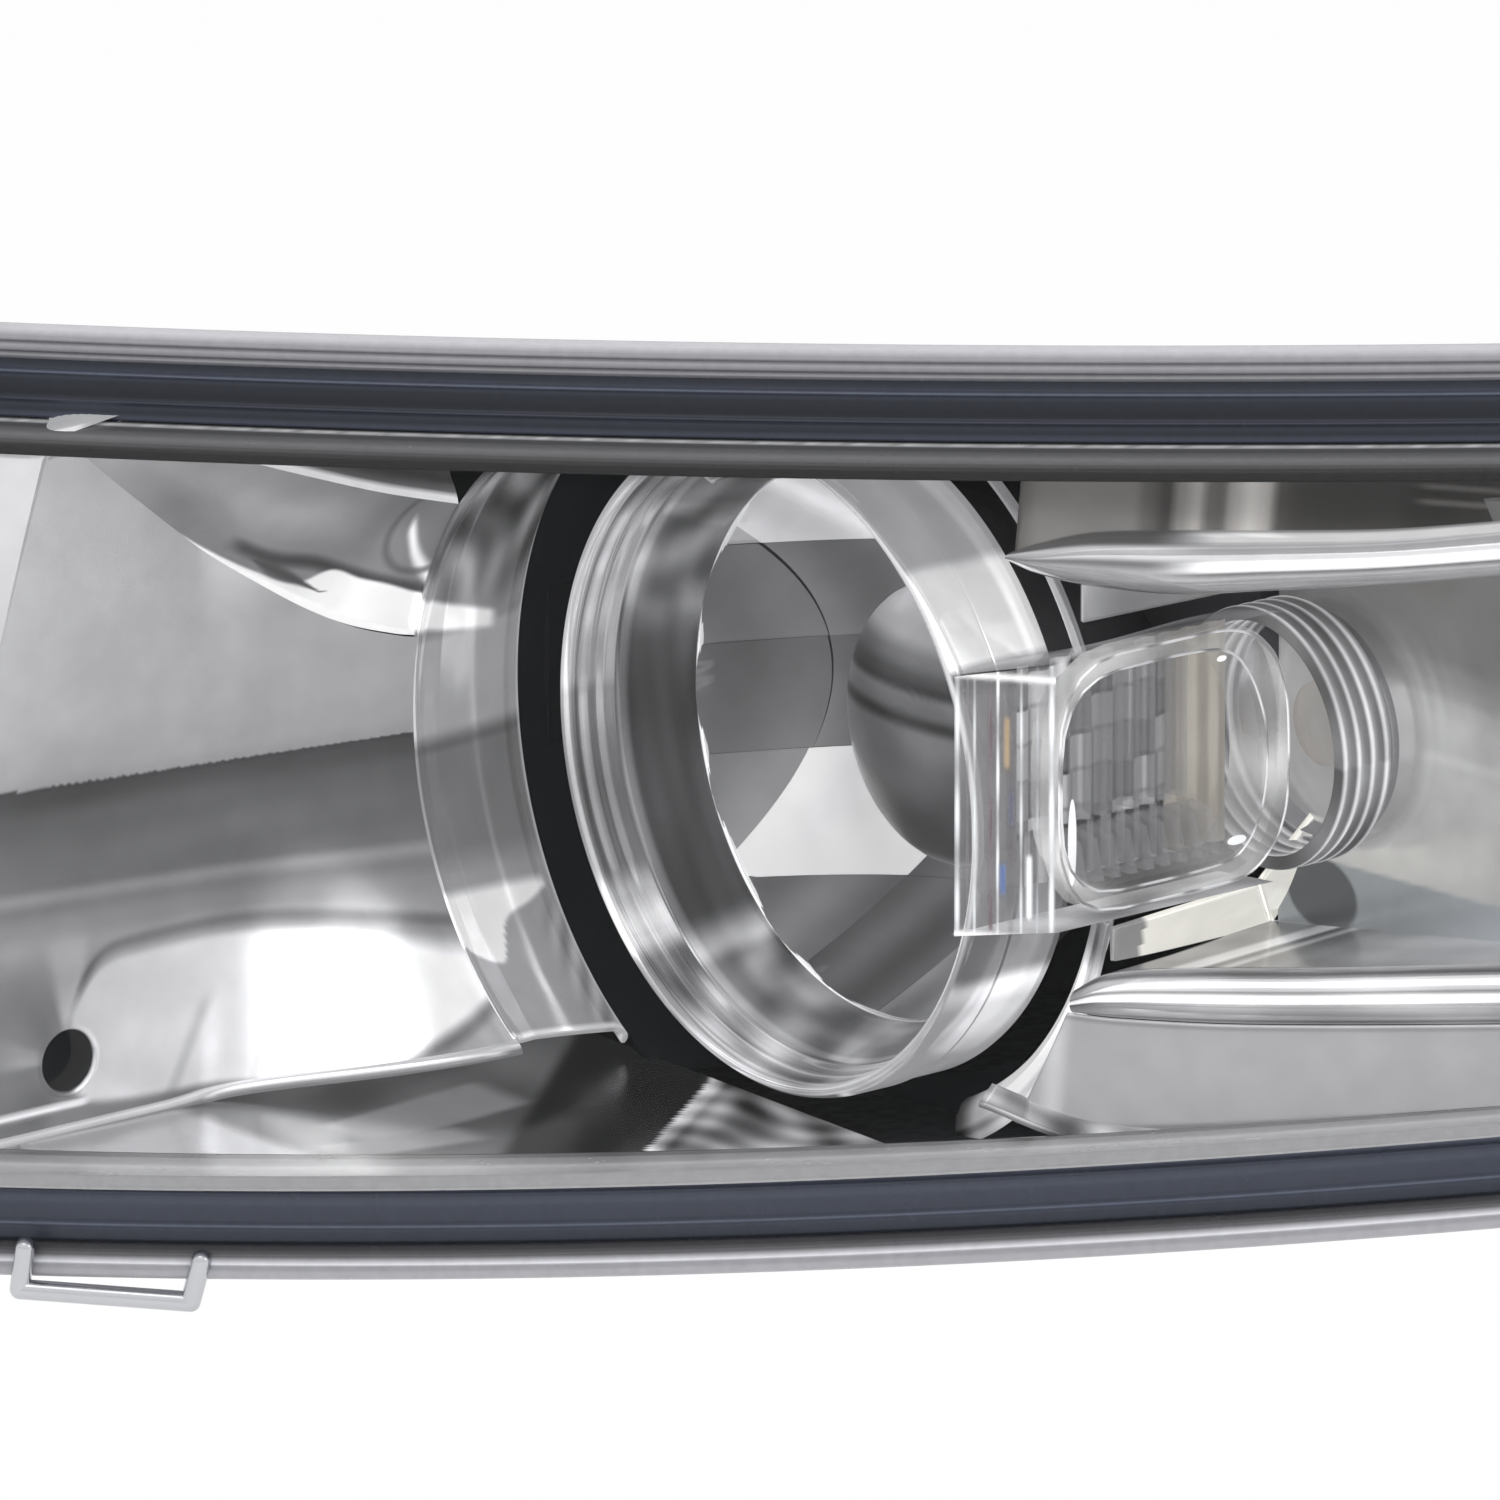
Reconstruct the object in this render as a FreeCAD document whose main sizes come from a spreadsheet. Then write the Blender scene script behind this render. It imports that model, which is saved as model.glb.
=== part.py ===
"""Left-hand car headlight assembly, as a parametric FreeCAD document (millimetres).

Every shape is drawn in lamp coordinates: the origin is the centre of the low-beam ring's front
edge, X points outboard, Y points to the rear of the car and Z points up.  Each placement then
moves the piece so that the row's origin is the hole of the upper inner mounting lug.
The cover lens lies in a plane swept back by sweep_angle and leaned back by rake_angle; s runs
along the lens, t up it, and w out of its front.
"""
import FreeCAD
import Part
import math
import os
import re

import Sketcher
from FreeCAD import Matrix, Placement, Rotation, Vector

SIZES = {
    # row origin, in lamp coordinates
    "origin_x": -182, "origin_y": -60, "origin_z": 38,
    # cover lens: orientation, reference point and outline of its outer lip
    "sweep_angle": 38, "rake_angle": 12, "lens_mid_y": -82,
    "rim_left": -203, "rim_right": 246, "rim_lean": 8,
    "rim_top_left": 73, "rim_top_right": 92.5, "rim_low_left": -83, "rim_low_right": -42,
    "rim_top_bend": 20000, "rim_low_bend": 4200, "rim_corner": 30,
    "dome_radius": 1000, "dome_s": 20, "dome_t": 10,
    "lens_wall": 3, "flange_depth": 15, "flange_wall": 3, "lip_width": 5, "window_inset": 16.5,
    "top_share": 0.84, "low_share": 1.16,
    # housing
    "wall": 3, "wall_inset": 4, "back_y": 100, "inner_back_y": 10, "step_x": -70, "inner_end_x": -185,
    "outer_end_x": 215, "roof_height": 69.7, "roof_rise": 0.2237, "roof_fall": 0.2129,
    # low-beam unit
    "ring_radius": 56.1, "ring_length": 9, "ring_inner": 51.9, "barrel_radius": 55.6, "barrel_back": 21,
    "opening_radius": 46.9, "opening_y": 23.2, "apex_y": 80, "socket_radius": 12.4, "skin": 2.4,
    "shield_radius": 24, "shield_front": 28, "shield_back": 44, "shield_skin": 1.2,
    "capsule_radius": 6, "flange_y": 77,
    # aiming
    "pivot_x": -50, "pivot_z": 28, "leveller_z": -46, "horizontal_x": 42, "aim_y": 72,
    "ball": 4, "cup_play": 0.6, "cup_radius": 8.5, "rod": 2.2,
    # high-beam unit
    "high_x": -112, "high_y": -95, "high_low": 2, "high_radius": 37, "high_depth": 46,
    # rear towers and caps
    "low_tower": 39, "high_tower": 34, "tower_length": 20, "cap_height": 18, "cap_play": 0.5,
    # turn signal
    "turn_x": 66, "turn_z": 11, "turn_back": 50.6, "turn_collar": 22, "turn_side": 75, "turn_hole": 15,
    # parking lamp
    "park_y": -98.6, "park_z": -46.7, "park_hole": 5.2,
    # mounting lugs
    "lug_hole": 4.2, "sleeve_bore": 3.3, "lug_thick": 5,
}

doc = FreeCAD.newDocument("Headlight")
sheet = doc.addObject("Spreadsheet::Sheet", "Sizes")
for row, (alias, number) in enumerate(SIZES.items(), start=1):
    sheet.set("A%d" % row, alias)
    sheet.set("B%d" % row, str(number))
    sheet.setAlias("B%d" % row, alias)
doc.recompute()

pieces = []


def value(text):
    """The number that an expression of the sheet's names comes to."""
    return float(sheet.evalExpression(str(text)))


def linked(text):
    """The same expression as another object writes it."""
    return re.sub(r"[a-z_]+", lambda word: ("Sizes." if word.group() in SIZES else "") + word.group(), text)


def bind(thing, **properties):
    """Give properties their sizes, by expression where they are written as one."""
    for name, text in properties.items():
        if isinstance(text, str):
            thing.setExpression(name.replace("__", "."), linked(text))
        else:
            setattr(thing, name, text)


def less(text, origin):
    return "%s - (%s)" % (text, origin)


def place(thing, x, y, z, rotation=None):
    """Put a primitive at a point of the lamp coordinates."""
    thing.Placement = Placement(Vector(), rotation or Rotation())
    bind(thing, Placement__Base__x=less(x, "origin_x"), Placement__Base__y=less(y, "origin_y"),
         Placement__Base__z=less(z, "origin_z"))
    return thing


def piece(thing, label):
    """Register a finished sub-part under the name of its node."""
    thing.Label = label
    pieces.append(thing)
    return thing


def add(kind, name):
    return doc.addObject(kind, name)


def box(name, x, y, z):
    """A box between two planes along each axis."""
    made = add("Part::Box", name)
    bind(made, Length=less(x[1], x[0]), Width=less(y[1], y[0]), Height=less(z[1], z[0]))
    return place(made, x[0], y[0], z[0])


AXES = {"x": Rotation(Vector(0, 0, 1), Vector(1, 0, 0)), "y": Rotation(Vector(0, 0, 1), Vector(0, 1, 0)),
        "z": Rotation()}


def rod(name, radius, x, y, z, length, along="y"):
    """A cylinder that starts at a point and runs along an axis."""
    made = add("Part::Cylinder", name)
    bind(made, Radius=str(radius), Height=str(length))
    return place(made, x, y, z, AXES[along])


def ball(name, radius, x, y, z):
    made = add("Part::Sphere", name)
    bind(made, Radius=str(radius))
    return place(made, x, y, z)


def fuse(name, *shapes):
    made = add("Part::MultiFuse", name)
    made.Shapes = list(shapes)
    made.Refine = True
    return made


def cut(name, base, *tools):
    made = add("Part::Cut", name)
    made.Base = base
    made.Tool = tools[0] if len(tools) == 1 else fuse(name + "_tools", *tools)
    return made


def common(name, *shapes):
    made = add("Part::MultiCommon", name)
    made.Shapes = list(shapes)
    return made


def tube(name, outer, inner, x, y, z, length, along="y"):
    return cut(name, rod(name + "_out", outer, x, y, z, length, along),
               rod(name + "_in", inner, x, y, z, length, along))


def turned(name, x, z, profile, y=0):
    """A body of revolution about an axis along Y: the profile's points are radius and depth."""
    body = add("PartDesign::Body", name)
    sketch = body.newObject("Sketcher::SketchObject", name + "_profile")
    plane = [item for item in body.Origin.OriginFeatures if item.Role == "XY_Plane"][0]
    sketch.AttachmentSupport = (plane, "")
    sketch.MapMode = "FlatFace"
    corners = [Vector(value(radius), value(depth), 0) for radius, depth in profile]
    count = len(corners)
    for index in range(count):
        sketch.addGeometry(Part.LineSegment(corners[index], corners[(index + 1) % count]))
    for index in range(count):
        sketch.addConstraint(Sketcher.Constraint("Coincident", index, 2, (index + 1) % count, 1))
    for index, (radius, depth) in enumerate(profile):
        for kind, text, number in (("DistanceX", radius, corners[index].x),
                                   ("DistanceY", depth, corners[index].y)):
            place_in_list = sketch.addConstraint(Sketcher.Constraint(kind, -1, 1, index, 1, number))
            sketch.setExpression("Constraints[%d]" % place_in_list, linked(str(text)))
    spin = body.newObject("PartDesign::Revolution", name + "_turn")
    spin.Profile = sketch
    spin.ReferenceAxis = (sketch, ["V_Axis"])
    spin.Angle = 360
    return place(body, x, y, z)


# ---------------------------------------------------------------- lens frame

def lens_placement():
    """Columns: along the lens, up the lens, out of its front."""
    sweep, rake = (math.radians(value(name)) for name in ("sweep_angle", "rake_angle"))
    along = Vector(math.cos(sweep), math.sin(sweep), 0)
    front = Vector(math.sin(sweep) * math.cos(rake), -math.cos(sweep) * math.cos(rake), math.sin(rake))
    up = front.cross(along)
    origin = Vector(0, value("lens_mid_y"), 0) - Vector(*[value(name) for name in
                                                         ("origin_x", "origin_y", "origin_z")])
    return Placement(Matrix(along.x, up.x, front.x, origin.x, along.y, up.y, front.y, origin.y,
                            along.z, up.z, front.z, origin.z, 0, 0, 0, 1))


LENS = lens_placement()
BACK = Vector(0, 1, 0)


def bowed(start, end, radius):
    """The arc between two points that bulges to the left of its direction."""
    chord = end - start
    sag = radius - math.sqrt(radius ** 2 - chord.Length ** 2 / 4)
    side = Vector(-chord.y, chord.x, 0).normalize()
    return Part.Arc(start, (start + end) / 2 + side * sag, end)


def outline(name, inset):
    """The lens outline, drawn in by inset, on the plane of the lens flange."""
    sketch = add("Sketcher::SketchObject", name)
    corners = (("rim_left", "rim_top_left", 1, -1), ("rim_right - 3 * rim_lean", "rim_top_right", -1, -1),
               ("rim_right", "rim_low_right", -1, 1), ("rim_left + rim_lean", "rim_low_left", 1, 1))
    share = {-1: "top_share", 1: "low_share"}
    texts = [("%s + %g * (%s)" % (across, side, inset),
              "%s + %g * (%s) * %s" % (up, rise, inset, share[rise])) for across, up, side, rise in corners]
    points = [Vector(value(across), value(up), 0) for across, up in texts]
    sketch.addGeometry(bowed(points[0], points[1], value("rim_top_bend")))
    sketch.addGeometry(Part.LineSegment(points[1], points[2]))
    sketch.addGeometry(bowed(points[2], points[3], value("rim_low_bend")))
    sketch.addGeometry(Part.LineSegment(points[3], points[0]))
    sketch.Placement = LENS * Placement(Vector(0, 0, -value("flange_depth")), Rotation())
    return sketch


def prism(name, inset, length=150):
    """The outline swept along the car, from in front of the lens to the rear, with rounded corners."""
    raw = add("Part::Extrusion", name + "_raw")
    raw.Base = outline(name + "_outline", inset)
    raw.DirMode = "Custom"
    raw.Dir = BACK
    raw.LengthFwd = length
    raw.LengthRev = 60
    raw.Solid = True
    doc.recompute()
    rounded = add("Part::Fillet", name)
    rounded.Base = raw
    corner = value("rim_corner - (%s) * 0.5" % inset)
    edges = []
    for number, edge in enumerate(raw.Shape.Edges, start=1):
        start, end = edge.Vertexes[0].Point, edge.Vertexes[-1].Point
        if abs((end - start).normalize().dot(BACK)) > 0.9999:
            edges.append((number, corner, corner))
    rounded.Edges = edges
    return rounded


def dome(name, depth):
    """Everything behind the lens surface that lies depth behind the front of the dome."""
    made = add("Part::Sphere", name)
    bind(made, Radius="dome_radius - (%s)" % depth)
    centre = LENS.multVec(Vector(value("dome_s"), value("dome_t"), -value("dome_radius")))
    made.Placement = Placement(centre, Rotation(Vector(0, 0, 1), Vector(1, 0.3, 0.1)))
    return made


def layer(name, outer, inner, front, back):
    """A band of the lens outline between two insets and two depths behind the dome."""
    solid = prism(name + "_outer", outer)
    if inner is not None:
        solid = cut(name + "_band", solid, prism(name + "_inner", inner, 160))
    return common(name, solid,
                  cut(name + "_skin", dome(name + "_front", front), dome(name + "_back", back)))


# ---------------------------------------------------------------- lens, seal and clips

flange_back = "flange_depth + flange_wall"
piece(fuse("front_lens",
           layer("lens_dome", "window_inset", None, "0", "lens_wall"),
           layer("lens_skirt", "window_inset", "window_inset + lens_wall", "0", flange_back),
           layer("lens_flange", "0", "window_inset + lens_wall", "flange_depth", flange_back),
           layer("lens_bead", "0", "lip_width * 0.4", "flange_depth - 2", flange_back)), "front_lens")
piece(layer("lens_seal", "lip_width + 2", "window_inset - 3", flange_back, flange_back + " + 2"),
      "lens_seal")

seat = flange_back + " + 2"


def lens_point(along, up, out):
    return LENS.multVec(Vector(along, up, out))


def lens_box(name, along, up, out):
    """A box whose edges follow the lens frame, between two values of each lens coordinate."""
    made = add("Part::Box", name)
    made.Length, made.Width, made.Height = (high - low for low, high in (along, up, out))
    made.Placement = Placement(lens_point(along[0], up[0], out[0]), LENS.Rotation)
    return made


def drop(along, up):
    """How far the lens dome has curved back at a place on the lens."""
    radius = value("dome_radius")
    return radius - math.sqrt(radius ** 2 - (along - value("dome_s")) ** 2 - (up - value("dome_t")) ** 2)


def rim_height(along, top):
    """Height of the outer lip above or below the lens axis, along the lens."""
    sides = ("rim_top_left", "rim_top_right") if top else ("rim_low_left", "rim_low_right")
    bend = value("rim_top_bend" if top else "rim_low_bend")
    left, right = value("rim_left"), value("rim_right")
    share = (along - left) / (right - left)
    start, end = (value(name) for name in sides)
    bow = (along - left) * (right - along) / (2 * bend)
    return start + (end - start) * share + (bow if top else -bow)


def lens_clip(name, along, top):
    """A spring clip: a channel that grips the lens flange and the housing flange together."""
    edge = rim_height(along, top)
    sign = 1 if top else -1
    front = -value("flange_depth") - drop(along, edge) + 2.6
    back = front - value("flange_wall") - 10.4
    span = (along - 7, along + 7)

    def bar(part, near, far, low, high):
        heights = sorted((edge + sign * near, edge + sign * far))
        return lens_box(name + part, span, heights, (low, high))

    gap, foot = (4.6, 1.6) if top else (1.4, -2.8)
    far = gap + 1.4
    return fuse(name, bar("_back", gap, far, back, front), bar("_hook", -4, far, front, front + 1.2),
                bar("_foot", foot, far, back - 1.2, back))


clip_room = layer("clip_room", "-0.3", None, "flange_depth - 2.3", seat + " + 3.8")
CLIPS = [(-165, True), (-84, True), (192, True), (-150, False), (196, False)]
clip_stock = fuse("clip_stock", *[lens_clip("lens_clip_%d" % number, along, top)
                                  for number, (along, top) in enumerate(CLIPS)])


def wire(name, radius, points):
    """A bent wire through points of the row frame, with a ball at each bend."""
    parts = []
    for number, (start, end) in enumerate(zip(points, points[1:])):
        length = add("Part::Cylinder", "%s_run_%d" % (name, number))
        length.Radius = radius
        length.Height = (end - start).Length
        length.Placement = Placement(start, Rotation(Vector(0, 0, 1), end - start))
        parts.append(length)
    for number, point in enumerate(points):
        bend = add("Part::Sphere", "%s_bend_%d" % (name, number))
        bend.Radius = radius
        bend.Placement.Base = point
        parts.append(bend)
    return fuse(name, *parts)


bail_low = rim_height(-46, False)
bail_front = -value("flange_depth") - drop(-46, bail_low)
bail_line = [lens_point(along, bail_low + up, bail_front + out) for along, up, out in
             ((-60, 4, 3.9), (-61, -3.2, 2), (-32, -3.2, 2), (-30, 4, 3.9))]
piece(cut("lens_bail", wire("bail_stock", 1.7, bail_line), clip_room), "lens_bail")

# ---------------------------------------------------------------- housing

LUGS = {  # name: centre of the hole in lamp coordinates, and how far the plate reaches from it to the wall
    "upper_inner": (("origin_x", "origin_y", "origin_z"), (-12, 16), (-14, 14)),
    "upper_outer": (("118", "back_y + 14", "75"), (-14, 14), (-17, 12)),
    "lower_inner": (("10", "back_y + 14", "-66"), (-14, 14), (-17, 12)),
}


def under_roof(name, depth):
    """Everything below the housing's roof, which falls to the rear and to the inboard end."""
    made = add("Part::Box", name)
    made.Length, made.Width, made.Height = 1200, 1200, 500
    turn = Rotation(Vector(0, 0, 1), Vector(-value("roof_rise"), value("roof_fall"), 1))
    top = Vector(-value("origin_x"), -value("origin_y"), value("roof_height - origin_z") - value(depth))
    made.Placement = Placement(top - turn.multVec(Vector(600, 600, 500)), turn)
    return made


def hollow(name, inset, grow):
    """The space inside the walls: the outline swept to the rear and stopped by stepped end walls."""
    main = box(name + "_main", ("step_x - (%s)" % grow, "outer_end_x"), ("-300", "back_y + (%s)" % grow),
               ("-120", "120"))
    inner = box(name + "_inner", ("inner_end_x", "step_x + 20"), ("-300", "inner_back_y + (%s)" % grow),
                ("-120", "120"))
    return common(name, prism(name + "_sweep", inset, 400), fuse(name + "_ends", main, inner),
                  under_roof(name + "_roof", "-(%s)" % grow))


def lug(name):
    (x, y, z), across, along = LUGS[name]
    return box(name + "_lug", ["%s + (%g)" % (x, reach) for reach in across],
               ["%s + (%g)" % (y, reach) for reach in along],
               (z + " - lug_thick / 2", z + " + lug_thick / 2"))


def lug_bore(name, radius, part):
    x, y, z = LUGS[name][0]
    return rod(name + part, radius, x, y, z + " - lug_thick / 2 - 1", "lug_thick + 2", "z")


towers = [("low", "low_tower", "0", "back_y", "0"),
          ("high", "high_tower", "high_x", "inner_back_y", "high_low")]
shell = fuse(
    "housing_solid",
    common("housing_walls", hollow("housing_out", "wall_inset", "0"), dome("housing_face", seat)),
    layer("housing_flange", "lip_width", "window_inset - 1", seat, seat + " + 3.5"),
    *[lug(name) for name in LUGS])
piece(cut("housing_shell", shell, hollow("housing_in", "wall_inset + wall", "-wall"),
          *[rod(name + "_access", radius + " - wall", x, y + " - 10", z, "12") for name, radius, x, y,
            z in towers],
          rod("turn_opening", "turn_hole", "turn_x", "back_y - 5", "turn_z", "12"),
          rod("leveller_hole", "rod + 0.8", "pivot_x", "back_y - 5", "leveller_z", "12"),
          rod("horizontal_hole", "rod + 0.05", "horizontal_x", "back_y - 5", "pivot_z", "12"),
          *[lug_bore(name, "lug_hole", "_bore") for name in LUGS]), "housing_shell")
for name, radius, x, y, z in towers:
    piece(tube(name + "_tower", radius, radius + " - wall", x, y, z, "tower_length"), name + "_tower")
piece(cut("lens_clips", clip_stock, clip_room, shell), "lens_clips")
piece(fuse("mount_sleeves", *[
    tube("sleeve_" + name, "lug_hole", "sleeve_bore", x, y, z + " - lug_thick / 2", "lug_thick", "z")
    for name, ((x, y, z), _, _) in LUGS.items()]), "mount_sleeves")

# ---------------------------------------------------------------- chrome bezels

behind_lens = dome("bezel_face", "lens_wall + 2")
inner_raw = fuse(
    "inner_bezel_raw",
    cut("inner_wall", box("inner_wall_plate", ("-64", "-61"), ("-112", "-24"), ("-60", "56")),
        rod("park_opening", "park_hole", "-70", "park_y", "park_z", "12", "x")),
    common("inner_band", turned("inner_band_ring", "0", "0",
                                (("60", "-26"), ("66", "0"), ("68.5", "0"), ("62.5", "-26"))),
           box("inner_band_side", ("-70", "-15"), ("-30", "2"), ("-60", "56"))),
    common("inner_tray", box("inner_floor", ("-64", "58"), ("-94", "2"), ("-62", "-59.5")),
           dome("inner_tray_face", seat + " + 5")))
piece(common("inner_bezel", inner_raw, behind_lens, prism("bezel_space", "wall_inset + wall + 0.6", 400),
             under_roof("inner_bezel_roof", "wall + 1")), "inner_bezel")
outer_raw = fuse(
    "outer_bezel_raw",
    box("outer_top", ("20", "170"), ("-60", "70"), ("60", "62.5")),
    cut("outer_face", box("outer_back", ("63", "178"), ("66", "68.5"), ("-52", "62")),
        rod("outer_face_hole", "turn_collar + 0.5", "turn_x", "60", "turn_z", "12")),
    common("outer_tray", box("outer_floor", ("63", "178"), ("-30", "68"), ("-44", "-41.5")),
           dome("outer_tray_face", seat + " + 5")))
piece(common("outer_bezel", outer_raw, dome("outer_bezel_face", seat + " + 5"),
             prism("outer_bezel_space", "wall_inset + wall + 0.6", 400),
             under_roof("outer_bezel_roof", "wall + 1")), "outer_bezel")

# ---------------------------------------------------------------- low-beam unit


def bowl_line(radius, depth, neck, grow):
    """Points down a parabola from its opening to its neck, moved out by grow."""
    rise = value(radius) ** 2 / value(depth)
    last = value(depth) - value(neck) ** 2 / rise
    steps = 8
    return [("%.3f" % (math.sqrt(rise * (value(depth) - last * step / steps)) + grow),
             "%.3f" % (last * step / steps)) for step in range(steps + 1)]


def bowl(name, x, z, y, radius, depth, neck):
    """A parabolic reflector: radius at the opening, depth to the apex, neck radius at the back."""
    line = bowl_line(radius, depth, neck, 0) + bowl_line(radius, depth, neck, value("skin"))[::-1]
    return turned(name, x, z, line, y)


def bowl_space(name, x, z, y, radius, depth, neck):
    """The room that a reflector takes, solid to its axis, with a little clearance."""
    line = bowl_line(radius, depth, neck, value("skin") + 0.3)
    return turned(name, x, z, [("0", line[0][1])] + line + [("0", line[-1][1])], y)


piece(turned("low_ring", "0", "0", (
    ("ring_radius - 1.5", "0"), ("ring_radius", "1.5"), ("ring_radius", "ring_length"),
    ("ring_inner", "ring_length"), ("ring_inner + 0.5", "1.5"), ("ring_inner + 1.3", "0"))), "low_ring")
piece(turned("low_barrel", "0", "0", (
    ("barrel_radius", "ring_length"), ("barrel_radius", "barrel_back"),
    ("barrel_radius - 1.8", "barrel_back"),
    ("barrel_radius - 1.8", "ring_length + 3"), ("opening_radius + skin", "opening_y"),
    ("opening_radius", "opening_y"), ("ring_inner", "ring_length"))), "low_barrel")
piece(bowl("low_reflector", "0", "0", "opening_y", "opening_radius", "apex_y - opening_y", "socket_radius"),
      "low_reflector")
shield_dome = turned("shield_dome", "0", "0", (
    ("0", "shield_front"), ("shield_radius * 0.5", "shield_front + 2"),
    ("shield_radius * 0.85", "shield_front + 6"),
    ("shield_radius", "shield_front + 11"), ("shield_radius", "shield_back"),
    ("shield_radius - shield_skin", "shield_back"), ("shield_radius - shield_skin", "shield_front + 11.5"),
    ("shield_radius * 0.82", "shield_front + 7.2"), ("shield_radius * 0.48", "shield_front + 3.3"),
    ("0", "shield_front + shield_skin")))
piece(fuse("low_bulb_shield", shield_dome, *[
    box("shield_leg_%s" % side, ("-2.5", "2.5"), ("shield_back - 1", "shield_back + 20.2"),
        (low, low + " + shield_skin"))
    for side, low in (("top", "shield_radius - shield_skin"), ("low", "-shield_radius"))]),
      "low_bulb_shield")


def bulb(prefix, x, z, y, seat_y):
    """A halogen bulb: glass capsule, metal base with its locating flange, and cable plug."""
    piece(turned(prefix + "_bulb_glass", x, z, (
        ("0", seat_y + " - 31"), ("capsule_radius - 2", seat_y + " - 30.2"),
        ("capsule_radius", seat_y + " - 27"),
        ("capsule_radius", seat_y), ("0", seat_y)), y), prefix + "_bulb_glass")
    piece(turned(prefix + "_bulb_base", x, z, (
        ("0", seat_y), ("socket_radius - 1.6", seat_y), ("socket_radius - 1.6", seat_y + " + 4"),
        ("socket_radius + 2.6", seat_y + " + 4"), ("socket_radius + 2.6", seat_y + " + 5.6"),
        ("9", seat_y + " + 5.6"), ("9", seat_y + " + 14"), ("0", seat_y + " + 14")), y),
          prefix + "_bulb_base")
    back = "%s + %s + 14" % (y, seat_y)
    piece(fuse(prefix + "_bulb_plug",
               box(prefix + "_plug_shell", (x + " - 8", x + " + 8"), (back, back + " + 13"),
                   (z + " - 7", z + " + 7")),
               box(prefix + "_plug_latch", (x + " - 3", x + " + 3"), (back, back + " + 10"),
                   (z + " + 7", z + " + 9")),
               box(prefix + "_plug_tail", (x + " - 6", x + " + 6"), (back + " + 13", back + " + 16"),
                   (z + " - 5", z + " + 5"))), prefix + "_bulb_plug")


def bail(prefix, x, z, seat):
    """The wire bail that holds a bulb's flange on its seat: it hinges on its lower bar."""
    cx, cz = value(x) - value("origin_x"), value(z) - value("origin_z")
    cy = value(seat) - value("origin_y")
    route = [(-6, 17.5), (-11.6, 11), (-11.6, -17), (11.6, -17), (11.6, 11), (6, 17.5)]
    piece(wire(prefix + "_bulb_clip", 0.8, [Vector(cx + across, cy, cz + up) for across, up in route]),
          prefix + "_bulb_clip")


bulb("low", "0", "0", "0", "flange_y - 4")
bail("low", "0", "0", "flange_y + 2.6")

cup_sites = {"pivot": ("pivot_x", "pivot_z", "6.8"),
             "leveller": ("pivot_x", "leveller_z", "ball + cup_play"),
             "horizontal": ("horizontal_x", "pivot_z", "ball + cup_play")}
carrier_solid = fuse(
    "carrier_solid",
    rod("carrier_hub", "38", "0", "64", "0", "4"),
    box("carrier_upright", ("pivot_x - 6", "pivot_x + 16"), ("64", "68"),
        ("leveller_z - 6", "pivot_z + 6")),
    box("carrier_crossbar", ("pivot_x - 6", "horizontal_x"), ("64", "68"), ("pivot_z - 8", "pivot_z + 6")),
    turned("carrier_neck", "0", "0", (("socket_radius + 0.1", "flange_y"), ("18", "flange_y"), ("33", "64"),
                                     ("socket_radius + 0.1", "64"))),
    *[rod(name + "_cup", "cup_radius", x, "64", z, "11") for name, (x, z, _) in cup_sites.items()])
carrier_tools = [bowl_space("carrier_room", "0", "0", "opening_y", "opening_radius", "apex_y - opening_y",
                            "socket_radius"),
                 rod("carrier_bore", "socket_radius + 0.1", "0", "60", "0", "30")]
for name, (x, z, radius) in cup_sites.items():
    carrier_tools.append(ball(name + "_recess", radius, x, "aim_y", z))
    carrier_tools.append(rod(name + "_mouth", radius, x, "aim_y", z, "8"))
piece(cut("low_carrier", carrier_solid, *carrier_tools), "low_carrier")

# ---------------------------------------------------------------- aiming hardware

PIVOT, LEVELLER, HORIZONTAL = (cup_sites[name][:2] for name in ("pivot", "leveller", "horizontal"))


def stem(name, radius, site, y, length):
    """A rod along Y through one of the three aiming points."""
    return rod(name, radius, site[0], y, site[1], length)


def case(name, site, across, y, up):
    """A box given by its reach from one of the aiming points."""
    return box(name, ["%s + (%g)" % (site[0], reach) for reach in across], y,
               ["%s + (%g)" % (site[1], reach) for reach in up])


def ball_rod(name, site, length):
    return [ball(name + "_ball", "ball", site[0], "aim_y", site[1]),
            stem(name + "_stem", "rod", site, "aim_y", length)]


piece(fuse("pivot_stud", *ball_rod("pivot", PIVOT, "back_y - wall - aim_y"),
           stem("pivot_foot", "5", PIVOT, "back_y - wall - 4", "4")), "pivot_stud")
piece(cut("pivot_socket", ball("socket_ball", "6.5", "pivot_x", "aim_y", "pivot_z"),
          ball("socket_recess", "ball + 0.3", "pivot_x", "aim_y", "pivot_z"),
          stem("socket_mouth", "3.9", PIVOT, "aim_y", "12")), "pivot_socket")
piece(fuse("leveller_rod", *ball_rod("leveller", LEVELLER, "40")), "leveller_rod")
piece(fuse("horizontal_rod", *ball_rod("horizontal", HORIZONTAL, "40")), "horizontal_rod")
motor = fuse("motor_solid",
             case("motor_case", LEVELLER, (-20, 14), ("back_y", "back_y + 32"), (-20, 13)),
             stem("motor_boss", "9", LEVELLER, "back_y + 32", "4"),
             case("motor_plug", LEVELLER, (-14, 8), ("back_y + 8", "back_y + 26"), (-27, -20)))
piece(cut("leveller_motor", motor, stem("motor_bore", "rod + 0.8", LEVELLER, "back_y - 1", "24"),
          stem("motor_knob_bore", "3.05", LEVELLER, "back_y + 24", "16")), "leveller_motor")
piece(fuse("vertical_knob", stem("vertical_shaft", "3", LEVELLER, "back_y + 26", "12"),
           stem("vertical_grip", "7", LEVELLER, "back_y + 36.5", "10"),
           case("vertical_wing", LEVELLER, (-9, 9), ("back_y + 37.5", "back_y + 46"), (-1.5, 1.5))),
      "vertical_knob")
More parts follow.
